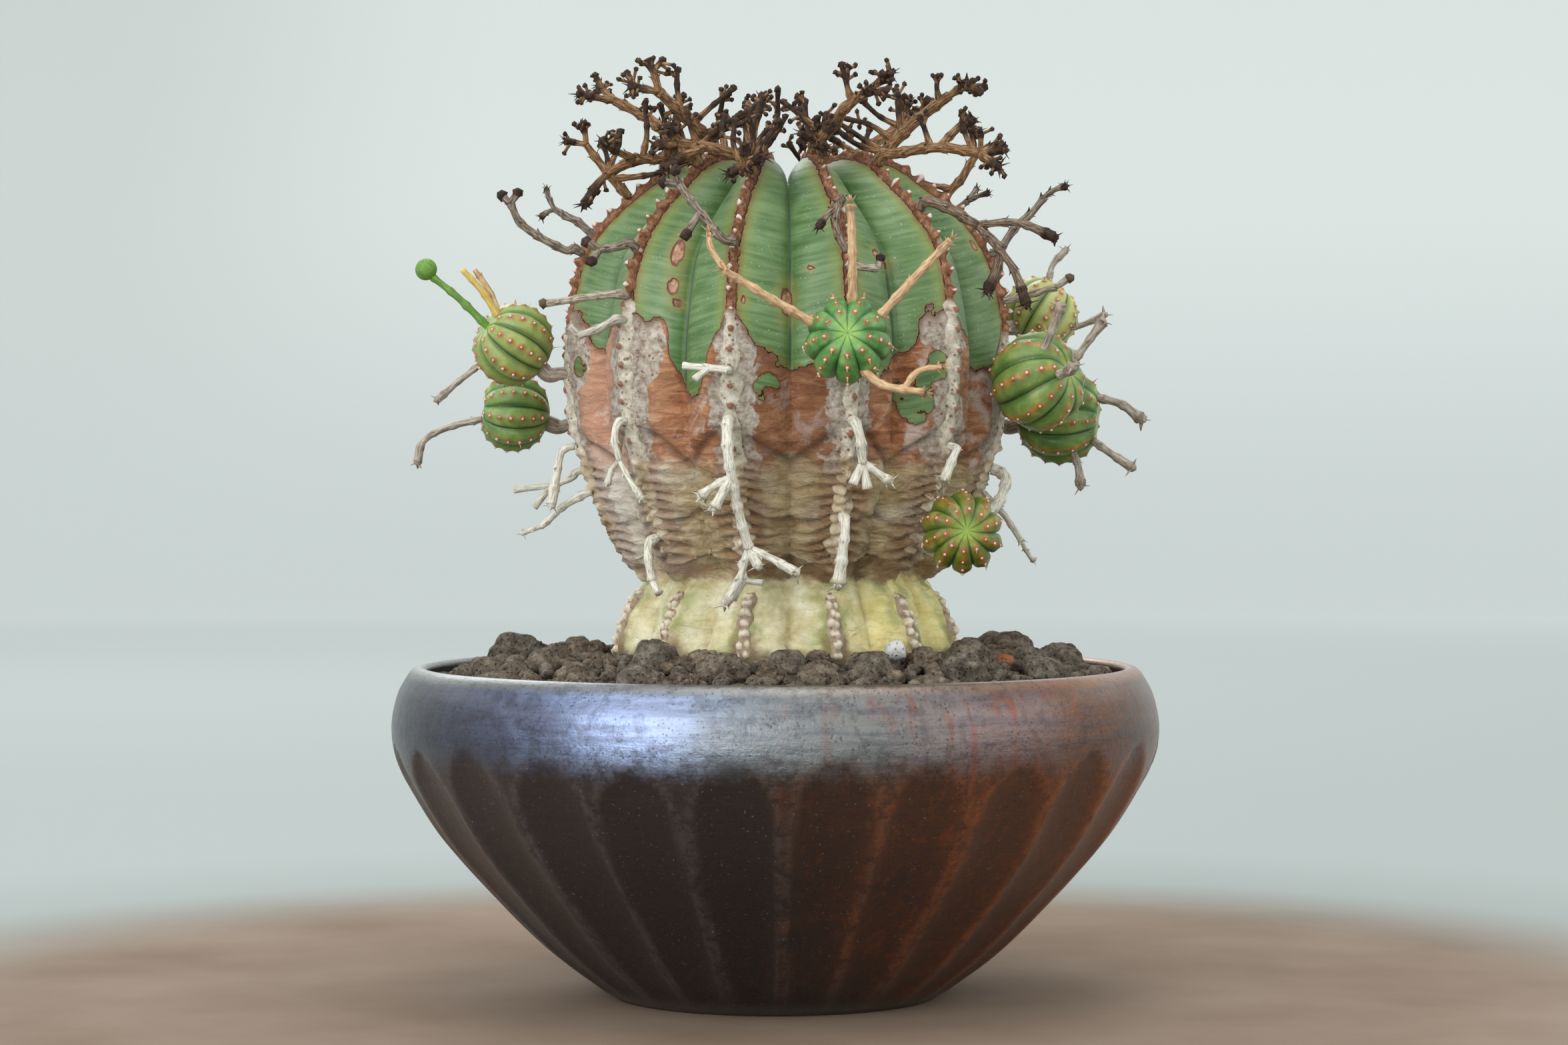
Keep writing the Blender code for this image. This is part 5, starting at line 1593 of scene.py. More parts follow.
def strip_sections(rib, stations, knobs, width_of, lift_of, knob_of, age_of):
    """Sections across a margin, from one flank over the crest to the other."""
    turn = rib_turn(rib)
    sections = []
    for number, station in enumerate(stations):
        gone = number * STRIP_STEP
        height = station.height
        ends = fade(0.0, 2.2, gone) * fade(0.0, 2.2, (len(stations) - 1 - number) * STRIP_STEP)
        close = [(s, v, size) for s, v, size in knobs if abs(s - gone) < 3.2]
        waist = 1.0 - max([bell(gone, s, 1.15) for s, _, _ in close], default=0.0)
        crest_point = station.point(turn)
        age = age_of(height, crest_point)
        waist *= fade(0.4, 0.1, age)
        section = []
        for step in range(STRIP_POINTS):
            place = 2.0 * step / (STRIP_POINTS - 1) - 1.0
            half = width_of(height) * (0.35 + 0.65 * ends)
            ragged = 0.45 + 0.9 * min(0.5, age)
            half += ragged * rough_at(crest_point + Vector((0, 0, 40.0 * (place > 0))), 2.6, 7.0)
            half *= 1.0 - 0.46 * waist
            across = place * max(0.6, half)
            spin = math.degrees(across / max(8.0, station.radius))
            here = station.point(turn + spin)
            dome = 1.0 - abs(place) ** 2.6
            rough = 0.22 * rough_at(here, 1.4, 3.0) + 0.3 * rough_at(here, 3.0, 5.0)
            lift = lift_of(height, crest_point, across) * dome + rough * dome
            top = max([size * bell(gone, s, 0.85) * bell(across, v, 0.9) for s, v, size in close],
                      default=0.0)
            lift += knob_of(height) * top * (1.0 - 0.55 * near_pup(rib, height))
            if step in (0, STRIP_POINTS - 1):
                lift = -STRIP_SUNK
            point = station.point(turn + spin, lift=lift * ends - 0.3 * (1.0 - ends))
            # On the margins the tip mark places the knobs' painted highlights.
            section.append((point, {"age": age, "bark": 1.0, "tip": fade(0.42, 0.82, top),
                                    "grain_x": across, "grain_y": lift, "along": gone}))
        for place in (0.45, -0.45):
            inner = station.point(turn, lift=-1.3) + rib_axes(rib)[0] * place
            section.append((inner, {"bark": 1.0}))
        sections.append(section)
    return sections


# %% Stations for the margins
def fine_stations(points):
    """Stations every strip step along a smooth stretch of the crest."""
    fine = [tuple(p) for p in curve_through(points, STRIP_STEP)]
    first = (2 * fine[0][0] - fine[1][0], 2 * fine[0][1] - fine[1][1])
    last = (2 * fine[-1][0] - fine[-2][0], 2 * fine[-1][1] - fine[-2][1])
    padded = [first] + fine + [last]
    return [Station(*three) for three in zip(padded, padded[1:], padded[2:])]


CREST_STATIONS = fine_stations(CREST)
BASE_STATIONS = fine_stations([(33.2, 90.8)] + BASE + [(38.6, 75.2)])


# %% The upper strip and the base strip
def upper_strip(rib, rng):
    """The margin on the stem, from the crown to the skirt."""
    high, low, extra = WHITE_CORK.get(rib, WHITE_CORK_ELSEWHERE)

    def whiteness(height):
        return fade(high + 5.0, high - 4.0, height)

    def width(height):
        swell = extra * bell(height, (high + low) / 2, (high - low) / 2)
        young = 1.3 - 0.35 * fade(170.0, 184.0, height)
        young += 0.3 * whiteness(height)
        return young + 0.5 * swell + 0.75 * fade(128.0, 116.0, height)

    def lift(height, point, across):
        fold = pleats(height, 1.3 if across > 0 else 0.0, abs(across), point)
        return 0.62 - 0.12 * whiteness(height) + 0.55 * fold

    def knob(height):
        return mix([(96.0, 0.45), (112.0, 0.6), (122.0, 1.1), (140.0, 1.35), (150.0, 1.8),
                    (172.0, 1.9), (186.0, 1.1)], height)

    def age(height, point):
        ragged = height + 3.0 * rough_at(point, 5.0, 1.0)
        return 0.5 * fade(high + 4.0, high - 3.0, ragged) + 0.5 * fade(124.0, 114.0, ragged)

    knobs = knob_marks(rng, STRIP_STEP * len(CREST_STATIONS), KNOB_PITCH)
    return strip_sections(rib, CREST_STATIONS, knobs, width, lift, knob, age)


def base_strip(rib, rng):
    """The short beaded margin on the pale base."""
    knobs = []
    for row in (-0.55, 0.55):
        knobs += [(at, row + across, size) for at, across, size
                  in knob_marks(rng, STRIP_STEP * len(BASE_STATIONS), 2.3)]
    return strip_sections(rib, BASE_STATIONS, knobs,
                          lambda height: 1.7 + 0.5 * fade(88.0, 78.0, height),
                          lambda height, point, across: 0.3 + 0.25 * rough_at(point, 1.8, 9.0),
                          lambda height: 1.15,
                          lambda height, point: 0.62 + 0.1 * fade(80.0, 76.0, height))


# %% [markdown]
# ## Cork and stalk finish
# One finish serves margins and stalks, because both are dead, dry tissue that only differs in
# age. The age mark picks the tone: red-brown on the young cork, golden brown on the crown's
# stalks, grey on the shoulder's and bleached white below. The tip mark darkens the ends of
# stalks, but on the cork's knobs it makes them shinier and paints a pale highlight on them.

# %% Cork finish
def fibre_along(finish, scale, detail):
    """Noise drawn out along a stalk, placed by the marks of its cross-section."""
    grain = finish.fill(finish.add("ShaderNodeCombineXYZ"), X=finish.attribute("grain_x"),
                        Y=finish.attribute("grain_y"),
                        Z=finish.times(finish.attribute("along"), 0.16))
    fibre = finish.fill(finish.add("ShaderNodeTexNoise"), Vector=grain.outputs[0],
                        Scale=scale, Detail=detail)
    return fibre.outputs["Fac"]


def make_cork():
    """Dead tissue: young cork, white cork, grey folds, and stalks from brown to white."""
    cork = Finish("dry_cork", roughness=0.8, specular=0.35)
    age, tip, bark = (cork.attribute(name) for name in ("age", "tip", "bark"))
    fine = cork.noise(1.3, detail=5.0, rough=0.62)
    coarse = cork.noise(4.5, detail=4.0)
    fibre = fibre_along(cork, 3.2, 4.0)
    young = cork.tones(fine, [(0.32, 80, 47, 32), (0.5, 132, 86, 60), (0.68, 176, 132, 104)])
    white = cork.tones(fine, [(0.3, 128, 102, 82), (0.42, 182, 169, 150), (0.66, 212, 204, 192)])
    folds = cork.tones(coarse, [(0.34, 142, 118, 92), (0.5, 190, 170, 142), (0.68, 218, 204, 182)])
    pits = cork.times(cork.step(cork.cells(1.5), 0.3, 0.16), cork.step(coarse, 0.44, 0.56))
    white = cork.tint(white, tone(104, 66, 46), pits, 0.85)
    margin = cork.blend(young, white, cork.step(age, 0.12, 0.45))
    margin = cork.blend(margin, folds, cork.step(age, 0.55, 0.9))
    dull = cork.times(cork.step(age, 0.2, 0.4), cork.step(age, 0.6, 0.52))
    # Painted highlight: the knobs' tips are painted pale, outside the white cork, over a lower
    # roughness.
    painted_glint = cork.times(cork.step(tip, 0.45, 0.95), cork.rest_of(dull))
    ring = cork.blend(tone(128, 74, 50), tone(208, 194, 162), cork.step(age, 0.52, 0.6))
    knob = cork.blend(ring, tone(232, 216, 202), painted_glint)
    axis = cork.axes()
    gaps = cork.times(cork.step(axis["Z"], 0.0925, 0.09), cork.step(tip, 0.3, 0.05))
    margin = cork.tint(margin, tone(132, 96, 66), gaps, 0.55)
    margin = cork.tint(margin, knob, cork.step(tip, 0.05, 0.5), 0.85)
    crown = cork.tones(fibre, [(0.34, 74, 48, 32), (0.5, 124, 88, 58), (0.66, 168, 134, 96)])
    dusk = cork.tones(fibre, [(0.34, 66, 52, 44), (0.5, 112, 96, 83), (0.68, 156, 142, 126)])
    grey = cork.tones(fibre, [(0.34, 104, 88, 74), (0.5, 156, 142, 124), (0.68, 196, 188, 172)])
    bleached = cork.tones(fibre,
                          [(0.3, 158, 148, 130), (0.46, 212, 205, 190), (0.66, 236, 231, 220)])
    stalk = cork.blend(crown, dusk, cork.step(age, 0.03, 0.1))
    stalk = cork.blend(stalk, grey, cork.step(age, 0.22, 0.42))
    stalk = cork.blend(stalk, bleached, cork.step(age, 0.55, 0.95))
    burnt = cork.tones(fine, [(0.38, 28, 19, 15), (0.62, 74, 50, 36)])
    old = cork.step(age, 0.5, 0.8)
    end = cork.blend(burnt, tone(160, 138, 108), old)
    stalk = cork.blend(stalk, end, cork.step(tip, 0.25, 0.85))
    cork.colour(cork.blend(stalk, margin, bark))
    shiny = cork.times(cork.times(tip, bark), 0.35)
    cork.roughness(cork.sums("SUBTRACT", cork.scaled(fine, 0.15, 0.72), shiny))
    cork.bumps((cork.times(fibre, cork.rest_of(bark)), 0.3), (cork.times(fine, bark), 0.4))
    return cork


# %% A rib's piece
def press_below(bm, top, depth):
    """Press what reaches above a height back under it, over a short depth."""
    highest = max(vert.co.z for vert in bm.verts)
    if highest > top:
        for vert in bm.verts:
            over = vert.co.z - (top - depth)
            if over > 0.0:
                vert.co.z = top - depth + over * depth / (highest - top + depth)


def make_rib(rib, cork):
    """A rib's margins and all its stalks, as one piece."""
    rng = random.Random(100 + rib)
    heap, _ = marked_bmesh()
    heaped(heap, swept(upper_strip(rib, rng)))
    heaped(heap, swept(base_strip(rib, rng)))
    for paths in BUNDLES[rib]:
        dress_stalk(heap, rng, paths, crown=paths[0][0][0].z > 176.0)
    press_below(heap, TOP_MM - 0.1, 3.0)
    node = f"rib_edge_{rib + 1:02d}"
    return as_piece(f"corky_{node}", heap, cork, [node])


# %% The twelve ribs
CORK = make_cork()
for rib in range(RIBS):
    make_rib(rib, CORK)

# %% [markdown]
# ## The offsets
# An offset is the stem in small: a round body with rounded ribs, sharp grooves that wind a
# little, and rows of pale dots where its spines would be. It is a half circle spun round an
# axis, pressed in along the grooves and twisted, then turned to look the way it grew.

# %% Offset shapes
PUP_RINGS = 44
PUP_RIB_STEPS = 16
PUP_FLATTEN = 0.93
PUP_VALLEY = 0.13
DOT_ROWS = (0.17, 0.27, 0.37, 0.47, 0.57, 0.67, 0.77)
# How yellow and how warm each offset's skin is, and how much it is lightened (pale): painted light
# on offsets that sit in shade.
PUP_TINTS = {
    "pup_left_upper": (0.55, 0.75, 0.3), "pup_left_lower": (0.25, 0.2, 0.16),
    "pup_front": (0.00, 0.12, 0.0), "pup_right_upper": (0.85, 0.45, 0.62),
    "pup_right_front": (0.5, 1.00, 0.1), "pup_right_lower": (0.4, 0.7, 0.05),
    "pup_low_right": (0.95, 0.3, 0.0),
}


def globe_point(radius, share, turn, twist, groove):
    """A point of an offset's body at a share of the way from its tip to its root."""
    angle = math.pi * share
    dimple = 0.16 * max(0.0, math.cos(angle)) ** 8
    height = radius * PUP_FLATTEN * (math.cos(angle) - dimple)
    cut = PUP_VALLEY * (0.35 * groove + 0.65 * groove ** 4) + 0.05 * groove ** 12
    reach = radius * max(0.0, math.sin(angle)) * (1.0 - cut * fade(0.0, 0.08, share))
    return at_turn(reach, height, turn + twist * (share - 0.5))


def groove_at(turn, ribs):
    """0 on a rib of an offset and 1 in the groove."""
    half = 180.0 / ribs
    away = turn % (2 * half)
    return min(away, 2 * half - away) / half


def grown_place(centre, axis):
    """The matrix that puts an offset's body in its place, looking along its axis."""
    return Matrix.Translation(Vector(centre)) @ facing(axis)


# %% An offset's globe
def make_globe(centre, radius, axis, ribs, twist, tints):
    """The offset's skin, with marks for its grooves, its dots' halos and its tint."""
    outline = []
    for number in range(PUP_RINGS + 1):
        point = globe_point(radius, number / PUP_RINGS, 0.0, 0.0, 0.0)
        outline.append((math.hypot(point.x, point.y), point.z))
    outline[0] = (0.0, outline[0][1])
    outline[-1] = (0.0, outline[-1][1])
    bm, mark = turned(outline, PUP_RIB_STEPS * ribs, closed=False)
    marks = {name: [] for name in ("groove", "halo", "share", "warm", "yellow", "pale")}
    for vert in bm.verts:
        share = vert[mark] / PUP_RINGS
        turn = turn_of(vert.co)
        groove = groove_at(turn, ribs)
        if 0 < vert[mark] < PUP_RINGS:
            vert.co = globe_point(radius, share, turn, twist, groove)
            nearest = min(abs(share - row) for row in DOT_ROWS) * math.pi * radius
            across = groove * math.pi / ribs * radius * math.sin(math.pi * share)
            halo = bell(math.hypot(nearest, across), 0.0, 0.85)
            vert.co *= 1.0 + 0.045 * halo + 0.008 * rough_at(vert.co, 2.5, radius)
        else:
            halo = 0.0
        marks["groove"].append(groove)
        marks["halo"].append(halo)
        marks["share"].append(share)
        marks["yellow"].append(tints[0])
        marks["warm"].append(tints[1])
        marks["pale"].append(tints[2])
    bm.transform(grown_place(centre, axis))
    return bm, marks


# %% [markdown]
# ## Offset skin
# Young skin is brighter and smoother than the old stem's: emerald in the shade, yellow-green in
# the sun, and orange along the ribs where it is sunburnt. How yellow and warm each offset is, and
# how much painted light makes it paler where it sits in shade, comes from three numbers that its
# mesh carries, so one finish serves all seven.

# %% Offset finish
def make_young_skin():
    """Bright young skin with dark grooves, warm ribs and rust-ringed dots."""
    skin = Finish("young_skin", specular=0.5)
    groove, halo, share, warm, yellow = (
        skin.attribute(name) for name in ("groove", "halo", "share", "warm", "yellow"))
    cloud = skin.noise(4.0, detail=4.0)
    emerald = skin.tones(cloud, [(0.32, 52, 104, 44), (0.52, 82, 138, 66), (0.7, 128, 168, 100)])
    sunny = skin.tones(cloud, [(0.32, 80, 90, 18), (0.52, 108, 108, 26), (0.7, 146, 142, 62)])
    mixed = skin.scaled(cloud, 0.7, -0.35)
    body = skin.blend(emerald, sunny, skin.sums("ADD", yellow, mixed, clamp=True))
    # Painted light: the pale mark lifts an offset's skin towards a light yellow-green.
    body = skin.blend(body, tone(206, 208, 132), skin.attribute("pale"))
    centre = skin.step(share, 0.16, 0.02)
    body = skin.tint(body, tone(160, 196, 84), centre, 0.55)
    rib = skin.step(groove, 0.34, 0.02)
    ragged = skin.step(skin.noise(2.2, detail=3.0), 0.4, 0.62)
    heat = skin.times(skin.times(rib, ragged), warm)
    body = skin.tint(body, tone(190, 118, 50), heat, 0.95)
    body = skin.tint(body, tone(44, 92, 30), skin.step(groove, 0.55, 0.92), 0.55)
    body = skin.tint(body, tone(22, 54, 16), skin.step(groove, 0.9, 1.0), 0.9)
    body = skin.tint(body, tone(160, 78, 42), skin.step(halo, 0.16, 0.6), 0.62)
    root = skin.step(share, 0.9, 1.0)
    body = skin.tint(body, tone(124, 82, 52), root, 0.85)
    fleck = skin.step(skin.cells(0.8), 0.18, 0.08)
    body = skin.tint(body, tone(190, 206, 164), fleck, 0.28)
    skin.colour(body)
    skin.roughness(skin.scaled(skin.noise(1.2), 0.16, 0.3))
    skin.fill(skin.shader, Subsurface_Weight=0.08, Subsurface_Radius=(0.6, 1.0, 0.3),
              Subsurface_Scale=0.002)
    skin.bumps((skin.noise(0.6, detail=3.0), 0.05), (skin.noise(2.6, detail=2.0), 0.14))
    return skin


# %% [markdown]
# ## What grows on an offset
# The pale dots, the thorn-like scales round the growing tip, the neck and the dried stalks are
# dead tissue again, so they take the cork's marks. The front offset's stalks are fresh straw
# with flared, star-like cups, and the upper left one carries a green pod on a green stalk, so
# a second finish with its own tones paints these.

# %% Offset stalk finish
def make_straw():
    """Offset stalks: straw, grey or green by their age mark, with dark tips."""
    straw = Finish("straw_stalks", roughness=0.62, specular=0.4)
    age, tip, bark = (straw.attribute(name) for name in ("age", "tip", "bark"))
    fibre = fibre_along(straw, 2.6, 3.0)
    green = straw.tones(fibre, [(0.3, 78, 120, 44), (0.7, 118, 156, 68)])
    yellow = straw.tones(fibre, [(0.3, 196, 160, 66), (0.7, 224, 196, 118)])
    tan = straw.tones(fibre, [(0.3, 156, 116, 82), (0.5, 196, 158, 118), (0.7, 220, 190, 154)])
    grey = straw.tones(fibre, [(0.3, 112, 96, 84), (0.5, 158, 144, 130), (0.7, 192, 182, 170)])
    stalk = straw.blend(green, yellow, straw.step(age, 0.15, 0.3))
    stalk = straw.blend(stalk, tan, straw.step(age, 0.4, 0.55))
    stalk = straw.blend(stalk, grey, straw.step(age, 0.7, 0.9))
    stalk = straw.tint(stalk, tone(88, 58, 40), straw.step(tip, 0.3, 1.0), 0.8)
    dots = straw.blend(tone(222, 190, 176), tone(150, 82, 54), straw.step(tip, 0.7, 0.2))
    straw.colour(straw.blend(stalk, dots, bark))
    straw.roughness(straw.scaled(fibre, 0.2, 0.45))
    straw.bumps((fibre, 0.12), (straw.noise(0.8, detail=3.0), 0.1))
    return straw


# %% Offset details
GREEN_STALK, YELLOW_STALK, TAN_STALK, GREY_STALK = 0.0, 0.35, 0.6, 1.0
STALK_AGES = {"pup_left_upper": (GREEN_STALK, YELLOW_STALK, TAN_STALK, GREY_STALK),
              "pup_front": (TAN_STALK,) * 6}
POD_ON = "pup_left_upper"
SPINY = "pup_low_right"


def dots_and_scales(heap, rng, name, centre, radius, axis, ribs, twist):
    """A pale dot at each spine's place, and small thorn-like scales near the growing tip."""
    place = grown_place(centre, axis)
    spin = place.to_3x3()
    for rib in range(ribs):
        turn = 360.0 / ribs * rib
        for row in DOT_ROWS:
            local = globe_point(radius, row, turn, twist, 0.0) * 1.045
            out = (spin @ local).normalized()
            spot = place @ local
            small, layers = marked_bmesh()
            bmesh.ops.create_icosphere(small, subdivisions=1, radius=rng.uniform(0.26, 0.42))
            for vert in small.verts:
                write_marks(vert, layers, {"bark": 1.0, "tip": 0.75 + 0.25 * vert.co.z})
            small.transform(Matrix.Translation(spot) @ facing(out)
                            @ Matrix.Diagonal((1, 1, 0.7, 1)))
            heaped(heap, small)
            near_tip = name == "pup_front" and row < 0.5 and rng.random() < 0.6
            spiny = name == SPINY and rng.random() < 0.3
            if near_tip or spiny or rng.random() < 0.08:
                lean = (out + 0.5 * jitter(rng, 1)).normalized()
                scale(heap, spot, lean, rng.uniform(1.1, 2.0), 0.55,
                      GREY_STALK if spiny else TAN_STALK, 0.1)


def star_cup(heap, rng, path, age):
    """The flared cup of dry scales at the end of a young stalk."""
    end, radius = path[-1]
    heading = (end - path[-2][0]).normalized()
    for ring, spread, count in ((0.0, 62.0, 5), (1.3, 38.0, 4)):
        for number in range(count):
            way = swung(heading, spread, 360.0 * number / count + 40.0 * ring)
            start = end - heading * (1.1 - ring) + way * radius * 0.25
            scale(heap, start, way, rng.uniform(1.6, 2.2), 0.95, age, 0.45)


# %% The pod
def seed_pod(heap, stalk):
    """A green pod with three faint lobes at the end of a stalk."""
    small, layers = marked_bmesh()
    bmesh.ops.create_uvsphere(small, u_segments=24, v_segments=14, radius=SEED_POD_RADIUS)
    for vert in small.verts:
        lobe = 1.0 - 0.05 * abs(math.sin(1.5 * math.radians(turn_of(vert.co))))
        vert.co = Vector((vert.co.x * lobe, vert.co.y * lobe, vert.co.z * 0.94))
        write_marks(vert, layers, {"age": GREEN_STALK, "grain_x": vert.co.x, "grain_y": vert.co.y,
                                   "tip": 0.55 * fade(1.7, 2.3, vert.co.z)})
    small.transform(Matrix.Translation(SEED_POD) @ facing(Vector(stalk[-1]) - Vector(stalk[-2])))
    heaped(heap, small)


# %% All that grows on an offset
def make_pup_details(name, centre, radius, axis, ribs, twist, rib, height):
    """An offset's neck, dots, scales, stalks and pod."""
    rng = random.Random(len(name) * 17 + ribs * 5 + rib)
    heap, _ = marked_bmesh()
    neck = neck_path(centre, radius, rib, height)
    inside_margin = (neck[0][0] - (neck[1][0] - neck[0][0]) * 0.8, neck[0][1])
    limb(heap, rng, [inside_margin] + neck, GREY_STALK, 0.0, joints=False)
    dots_and_scales(heap, rng, name, centre, radius, axis, ribs, twist)
    ages = STALK_AGES.get(name, (GREY_STALK,) * 6)
    for (thick, points), age in zip(PUP_STALKS[name], ages):
        path = knobbed([Vector(p) for p in points], thick)
        if age < GREY_STALK:
            path[-1] = (path[-1][0], thick * 0.8)
        tip = 0.0 if age < TAN_STALK else 0.5
        joints = limb(heap, rng, path, age, tip, joints=True)
        if age >= TAN_STALK:
            clasp(heap, rng, joints[::2], age, 0.5, 0.7)
        if name == "pup_front":
            star_cup(heap, rng, path, age)
        elif age == GREY_STALK:
            flower_end(heap, rng, path, age, full=False)
    if name == POD_ON:
        seed_pod(heap, PUP_STALKS[name][0][1])
    return heap


# %% The seven offsets
YOUNG_SKIN = make_young_skin()
STRAW = make_straw()
for name, centre, radius, axis, ribs, twist, rib, height in PUPS:
    globe, globe_marks = make_globe(centre, radius, axis, ribs, twist, PUP_TINTS[name])
    as_piece(f"{name}_skin", globe, YOUNG_SKIN, [name], globe_marks)
    details = make_pup_details(name, centre, radius, axis, ribs, twist, rib, height)
    as_piece(f"{name}_dry_parts", details, STRAW, [name])

# %% [markdown]
# ## The grit
# The soil's top is loose lava grit, and grit only looks loose if its grains are bodies of their
# own. Each is an icosphere with its corners moved and its sides squashed. The large ones lie
# where the solid has them; small ones fill the mound round them by a seeded rule that keeps
# them apart, out of the stem and inside the rim.

# %% Soil sizes, as in the solid
NET_THICK = 1.2
SOIL_STEPS = 120
SOIL_CLEAR = 0.5
PIT_CLEAR = 0.45
SOIL_EDGE = (78.7, 67.0)
SOIL_MOUND = [(72, 70), (63.5, 72.8), (55, 74.6), (46.5, 75.6)]
PIT_RIM = 75.5
SOIL_SIDES = 32
GRIT_GRAINS = 34
GRIT_RADIUS = (4.2, 6.6)
GRIT_RING = (47.0, 72.0)
SMALL_GRAINS = 560
SMALL_RADIUS = (1.5, 4.2)
PUMICE = (25.6, -44.0, 78.9, 2.7)
ORANGE_GRAIN = (49.5, -30.0, 76.0, 2.2)
GRAINS_BETWEEN = (40.0, 77.0)
GRAINS_END = 79.0
STEM_KEEPS = 39.0
GRIT_MARKS = ("tint", "pale")


def soil_height(radius):
    """The mound's height at a distance from the bowl's axis."""
    return mix([(ROOT[0][0], PIT_RIM)] + SOIL_MOUND[::-1] + [SOIL_EDGE], radius)


# %% The soil's body
def soil_body():
    """The soil's closed body, with the stem's pit in it and a rough top."""
    inside = [(r - SOIL_CLEAR, z + SOIL_CLEAR) for r, z in BOWL_INSIDE[:0:-1]]
    bottom = FLOOR_TOP + GAP + NET_THICK + GAP
    top = [tuple(p) for p in curve_through([SOIL_EDGE] + SOIL_MOUND, 2.0)]
    pit = [(ROOT[0][0] + PIT_CLEAR, PIT_RIM)]
    pit += [(r + PIT_CLEAR, z - PIT_CLEAR) for r, z in ROOT[1:-1]]
    outline = [(0.0, bottom), (28.0, bottom)] + inside + top + pit
    outline.append((0.0, ROOT[-1][1] - PIT_CLEAR))
    bm, mark = turned(outline, SOIL_STEPS, closed=False)
    first = 2 + len(inside)
    for vert in bm.verts:
        number = vert[mark]
        if first < number < first + len(top):
            vert.co.z += 0.9 * rough_at(vert.co, 3.5) - 0.9
        elif number >= first + len(top):
            vert.co.x += STEM_X
    bmesh.ops.recalc_face_normals(bm, faces=bm.faces)
    tint, _ = (bm.verts.layers.float.new(name) for name in GRIT_MARKS)
    for vert in bm.verts:
        vert[tint] = 0.25
    return bm


# %% One grain
def grain(rng, middle, radius, tint, pale=0.0, squash=None, spin=None, tip=None, bumps=None):
    """One rough grain. The large ones bring the solid's own squash, turn and corner moves."""
    bm, layers = marked_bmesh(GRIT_MARKS)
    fine = radius > 3.2
    bmesh.ops.create_icosphere(bm, subdivisions=4 if fine else 2, radius=radius)
    seed = rng.uniform(0.0, 90.0)
    for vert in bm.verts:
        way = vert.co.normalized()
        if bumps:
            push = sum(weight * max(0.0, way.dot(corner)) ** 12 for corner, weight in bumps)
            total = sum(max(0.0, way.dot(corner)) ** 12 for corner, _ in bumps)
            vert.co *= push / total
            vert.co *= 1.0 + 0.1 * rough_at(vert.co, 2.6, seed) + 0.05 * rough_at(vert.co, 0.9)
        else:
            vert.co *= rng.uniform(0.8, 1.14)
        vert[layers["tint"]] = tint
        vert[layers["pale"]] = pale
    squash = squash or (1.0, rng.uniform(0.7, 1.0), rng.uniform(0.6, 0.9))
    spin = rng.uniform(0, math.tau) if spin is None else spin
    tip = rng.uniform(-0.6, 0.6) if tip is None else tip
    bm.transform(Matrix.Translation(middle) @ Matrix.Rotation(spin, 4, "Z")
                 @ Matrix.Rotation(tip, 4, "X") @ Matrix.Diagonal((*squash, 1.0)))
    return bm


# %% The solid's large grains
def solid_grains():
    """The solid's large grains, with the same random draws in the same order."""
    rng = random.Random(SEED + 1)
    draws_before = SOIL_SIDES * len(SOIL_MOUND) * 3
    for _ in range(draws_before):
        rng.uniform(-1.0, 1.0)
    golden = 180.0 * (3.0 - math.sqrt(5.0))
    inner, outer = GRIT_RING
    corners = bmesh.new()
    bmesh.ops.create_icosphere(corners, subdivisions=1, radius=1.0)
    ways = [vert.co.normalized() for vert in corners.verts]
    corners.free()
    for number in range(GRIT_GRAINS):
        share = (number + 0.5) / GRIT_GRAINS
        reach = math.sqrt(inner ** 2 + (outer ** 2 - inner ** 2) * share)
        radius = rng.uniform(*GRIT_RADIUS)
        middle = at_turn(reach, soil_height(reach) + 0.12 * radius, golden * number)
        middle.x += STEM_X * (outer - reach) / (outer - inner)
        bumps = [(way, rng.uniform(0.82, 1.12)) for way in ways]
        squash = (1.0, rng.uniform(0.75, 1.0), rng.uniform(0.65, 0.9))
        yield middle, radius, bumps, squash, rng.uniform(0, math.tau), rng.uniform(-0.5, 0.5)


# %% All the grit
def make_grit_mesh():
    """The soil's body with its large, small and odd grains."""
    bm = soil_body()
    rng = random.Random(SEED + 2)
    taken = []
    for middle, radius, bumps, squash, spin, tip in solid_grains():
        heaped(bm, grain(rng, middle, radius * 0.98, rng.uniform(0.1, 0.5), 0.0, squash, spin,
                         tip, bumps))
        taken.append((middle, radius * 0.86))
    for (x, y, z, radius), tint, pale in ((PUMICE, 0.0, 1.0), (ORANGE_GRAIN, 1.0, 0.0)):
        heaped(bm, grain(rng, Vector((x, y, z)), radius, tint, pale))
        taken.append((Vector((x, y, z)), radius))
    placed = 0
    for _ in range(SMALL_GRAINS * 12):
        if placed == SMALL_GRAINS:
            break
        radius = mix([(0.0, SMALL_RADIUS[0]), (0.7, 2.7), (1.0, SMALL_RADIUS[1])], rng.random())
        reach = math.sqrt(rng.uniform(GRAINS_BETWEEN[0] ** 2, GRAINS_BETWEEN[1] ** 2))
        radius = min(radius, GRAINS_END - reach)
        turn = rng.uniform(-180.0, 180.0)
        middle = at_turn(reach, soil_height(reach) + radius * rng.uniform(-0.25, 0.4), turn)
        from_stem = math.hypot(middle.x - STEM_X, middle.y) - STEM_KEEPS
        if from_stem < radius or radius < 1.0:
            continue
        if any((middle - other).length < 0.8 * (radius + far) for other, far in taken):
            continue
        taken.append((middle, radius))
        heaped(bm, grain(rng, middle, radius, rng.uniform(0.0, 0.75)))
        placed += 1
    print("small grains:", placed)
    return bm


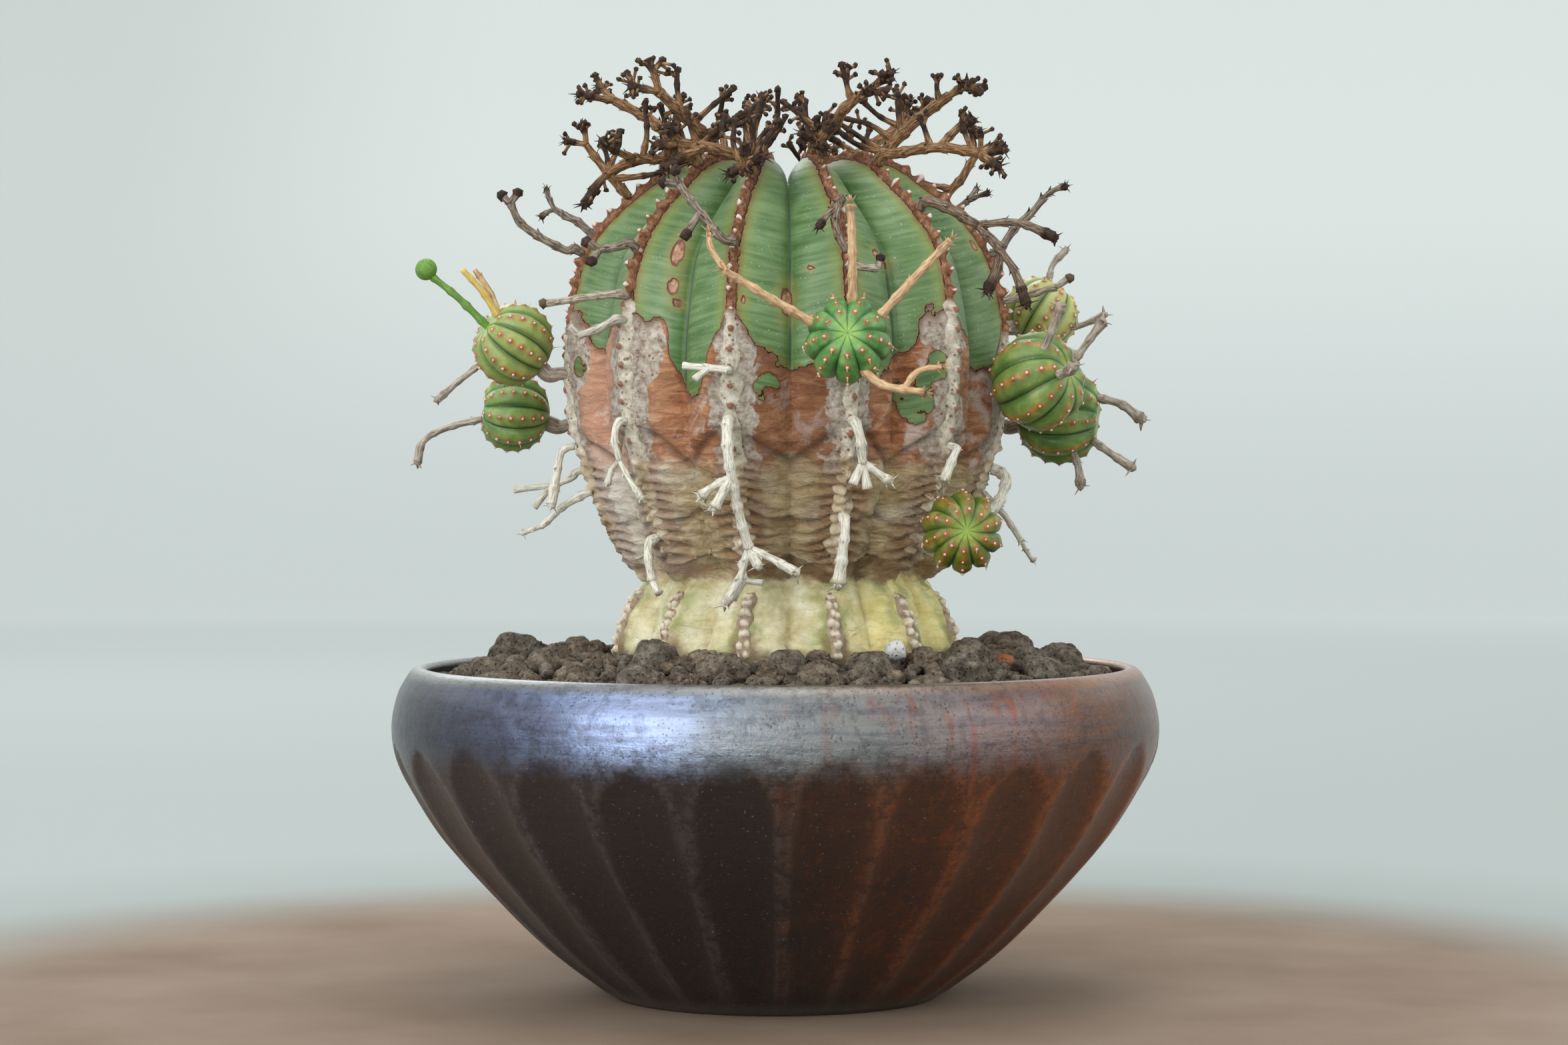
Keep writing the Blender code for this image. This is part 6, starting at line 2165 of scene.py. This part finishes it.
# %% Grit finish
def make_lava():
    """Porous dark lava, with paler, dusty and orange grains among it."""
    lava = Finish("lava_grains", roughness=0.92, specular=0.3)
    tint, pale = lava.attribute("tint"), lava.attribute("pale")
    cloud = lava.noise(2.4, detail=6.0, rough=0.68)
    dark = lava.tones(cloud, [(0.32, 54, 47, 40), (0.5, 100, 89, 78), (0.68, 144, 133, 119)])
    brown = lava.tones(cloud, [(0.32, 68, 55, 45), (0.5, 114, 97, 82), (0.68, 154, 138, 118)])
    body = lava.blend(dark, brown, lava.step(tint, 0.15, 0.75))
    body = lava.tint(body, tone(166, 96, 56), lava.step(tint, 0.85, 1.0), 0.7)
    white = lava.tones(cloud, [(0.3, 190, 186, 180), (0.6, 232, 231, 230)])
    body = lava.blend(body, white, pale)
    pores = lava.cells(0.95)
    holes = lava.times(lava.step(pores, 0.34, 0.14), lava.step(cloud, 0.62, 0.46))
    body = lava.tint(body, tone(30, 25, 22), holes, 0.6)
    dust = lava.step(lava.noise(0.5, detail=2.0), 0.6, 0.74)
    body = lava.tint(body, tone(186, 172, 150), dust, 0.35)
    lava.colour(body)
    lava.bumps((lava.noise(0.8, detail=6.0, rough=0.75), 0.55), (lava.times(holes, -1.0), 0.4))
    return lava


as_piece("lava_grit_top", make_grit_mesh(), make_lava(), ["soil"])

# %% [markdown]
# ## The drainage net
# The plastic net under the grit keeps its plain solid: flat bars need nothing more. Only its
# finish is made here, a dull black plastic with the faint lines of its mould.

# %% Net finish
def make_net_finish():
    """Dull black plastic with fine mould lines."""
    plastic = Finish("net_black_plastic", specular=0.4)
    lines = plastic.noise(0.6, detail=2.0, place=plastic.stretched(1.0, 0.1, 1.0))
    plastic.colour(plastic.tones(lines, [(0.35, 34, 34, 36), (0.65, 52, 52, 55)]))
    plastic.roughness(plastic.scaled(lines, 0.2, 0.48))
    plastic.bumps((lines, 0.06))
    return plastic


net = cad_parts["drain_net"]
net_finish = make_net_finish().material
if net.material_slots:
    net.material_slots[0].material = net_finish
else:
    net.data.materials.append(net_finish)

# %% [markdown]
# ## The solid's box
# The dressed plant has to stay inside the plain one's box; the plain one's box is printed here.

# %% Finish
print("solid box ", cad_bounds)
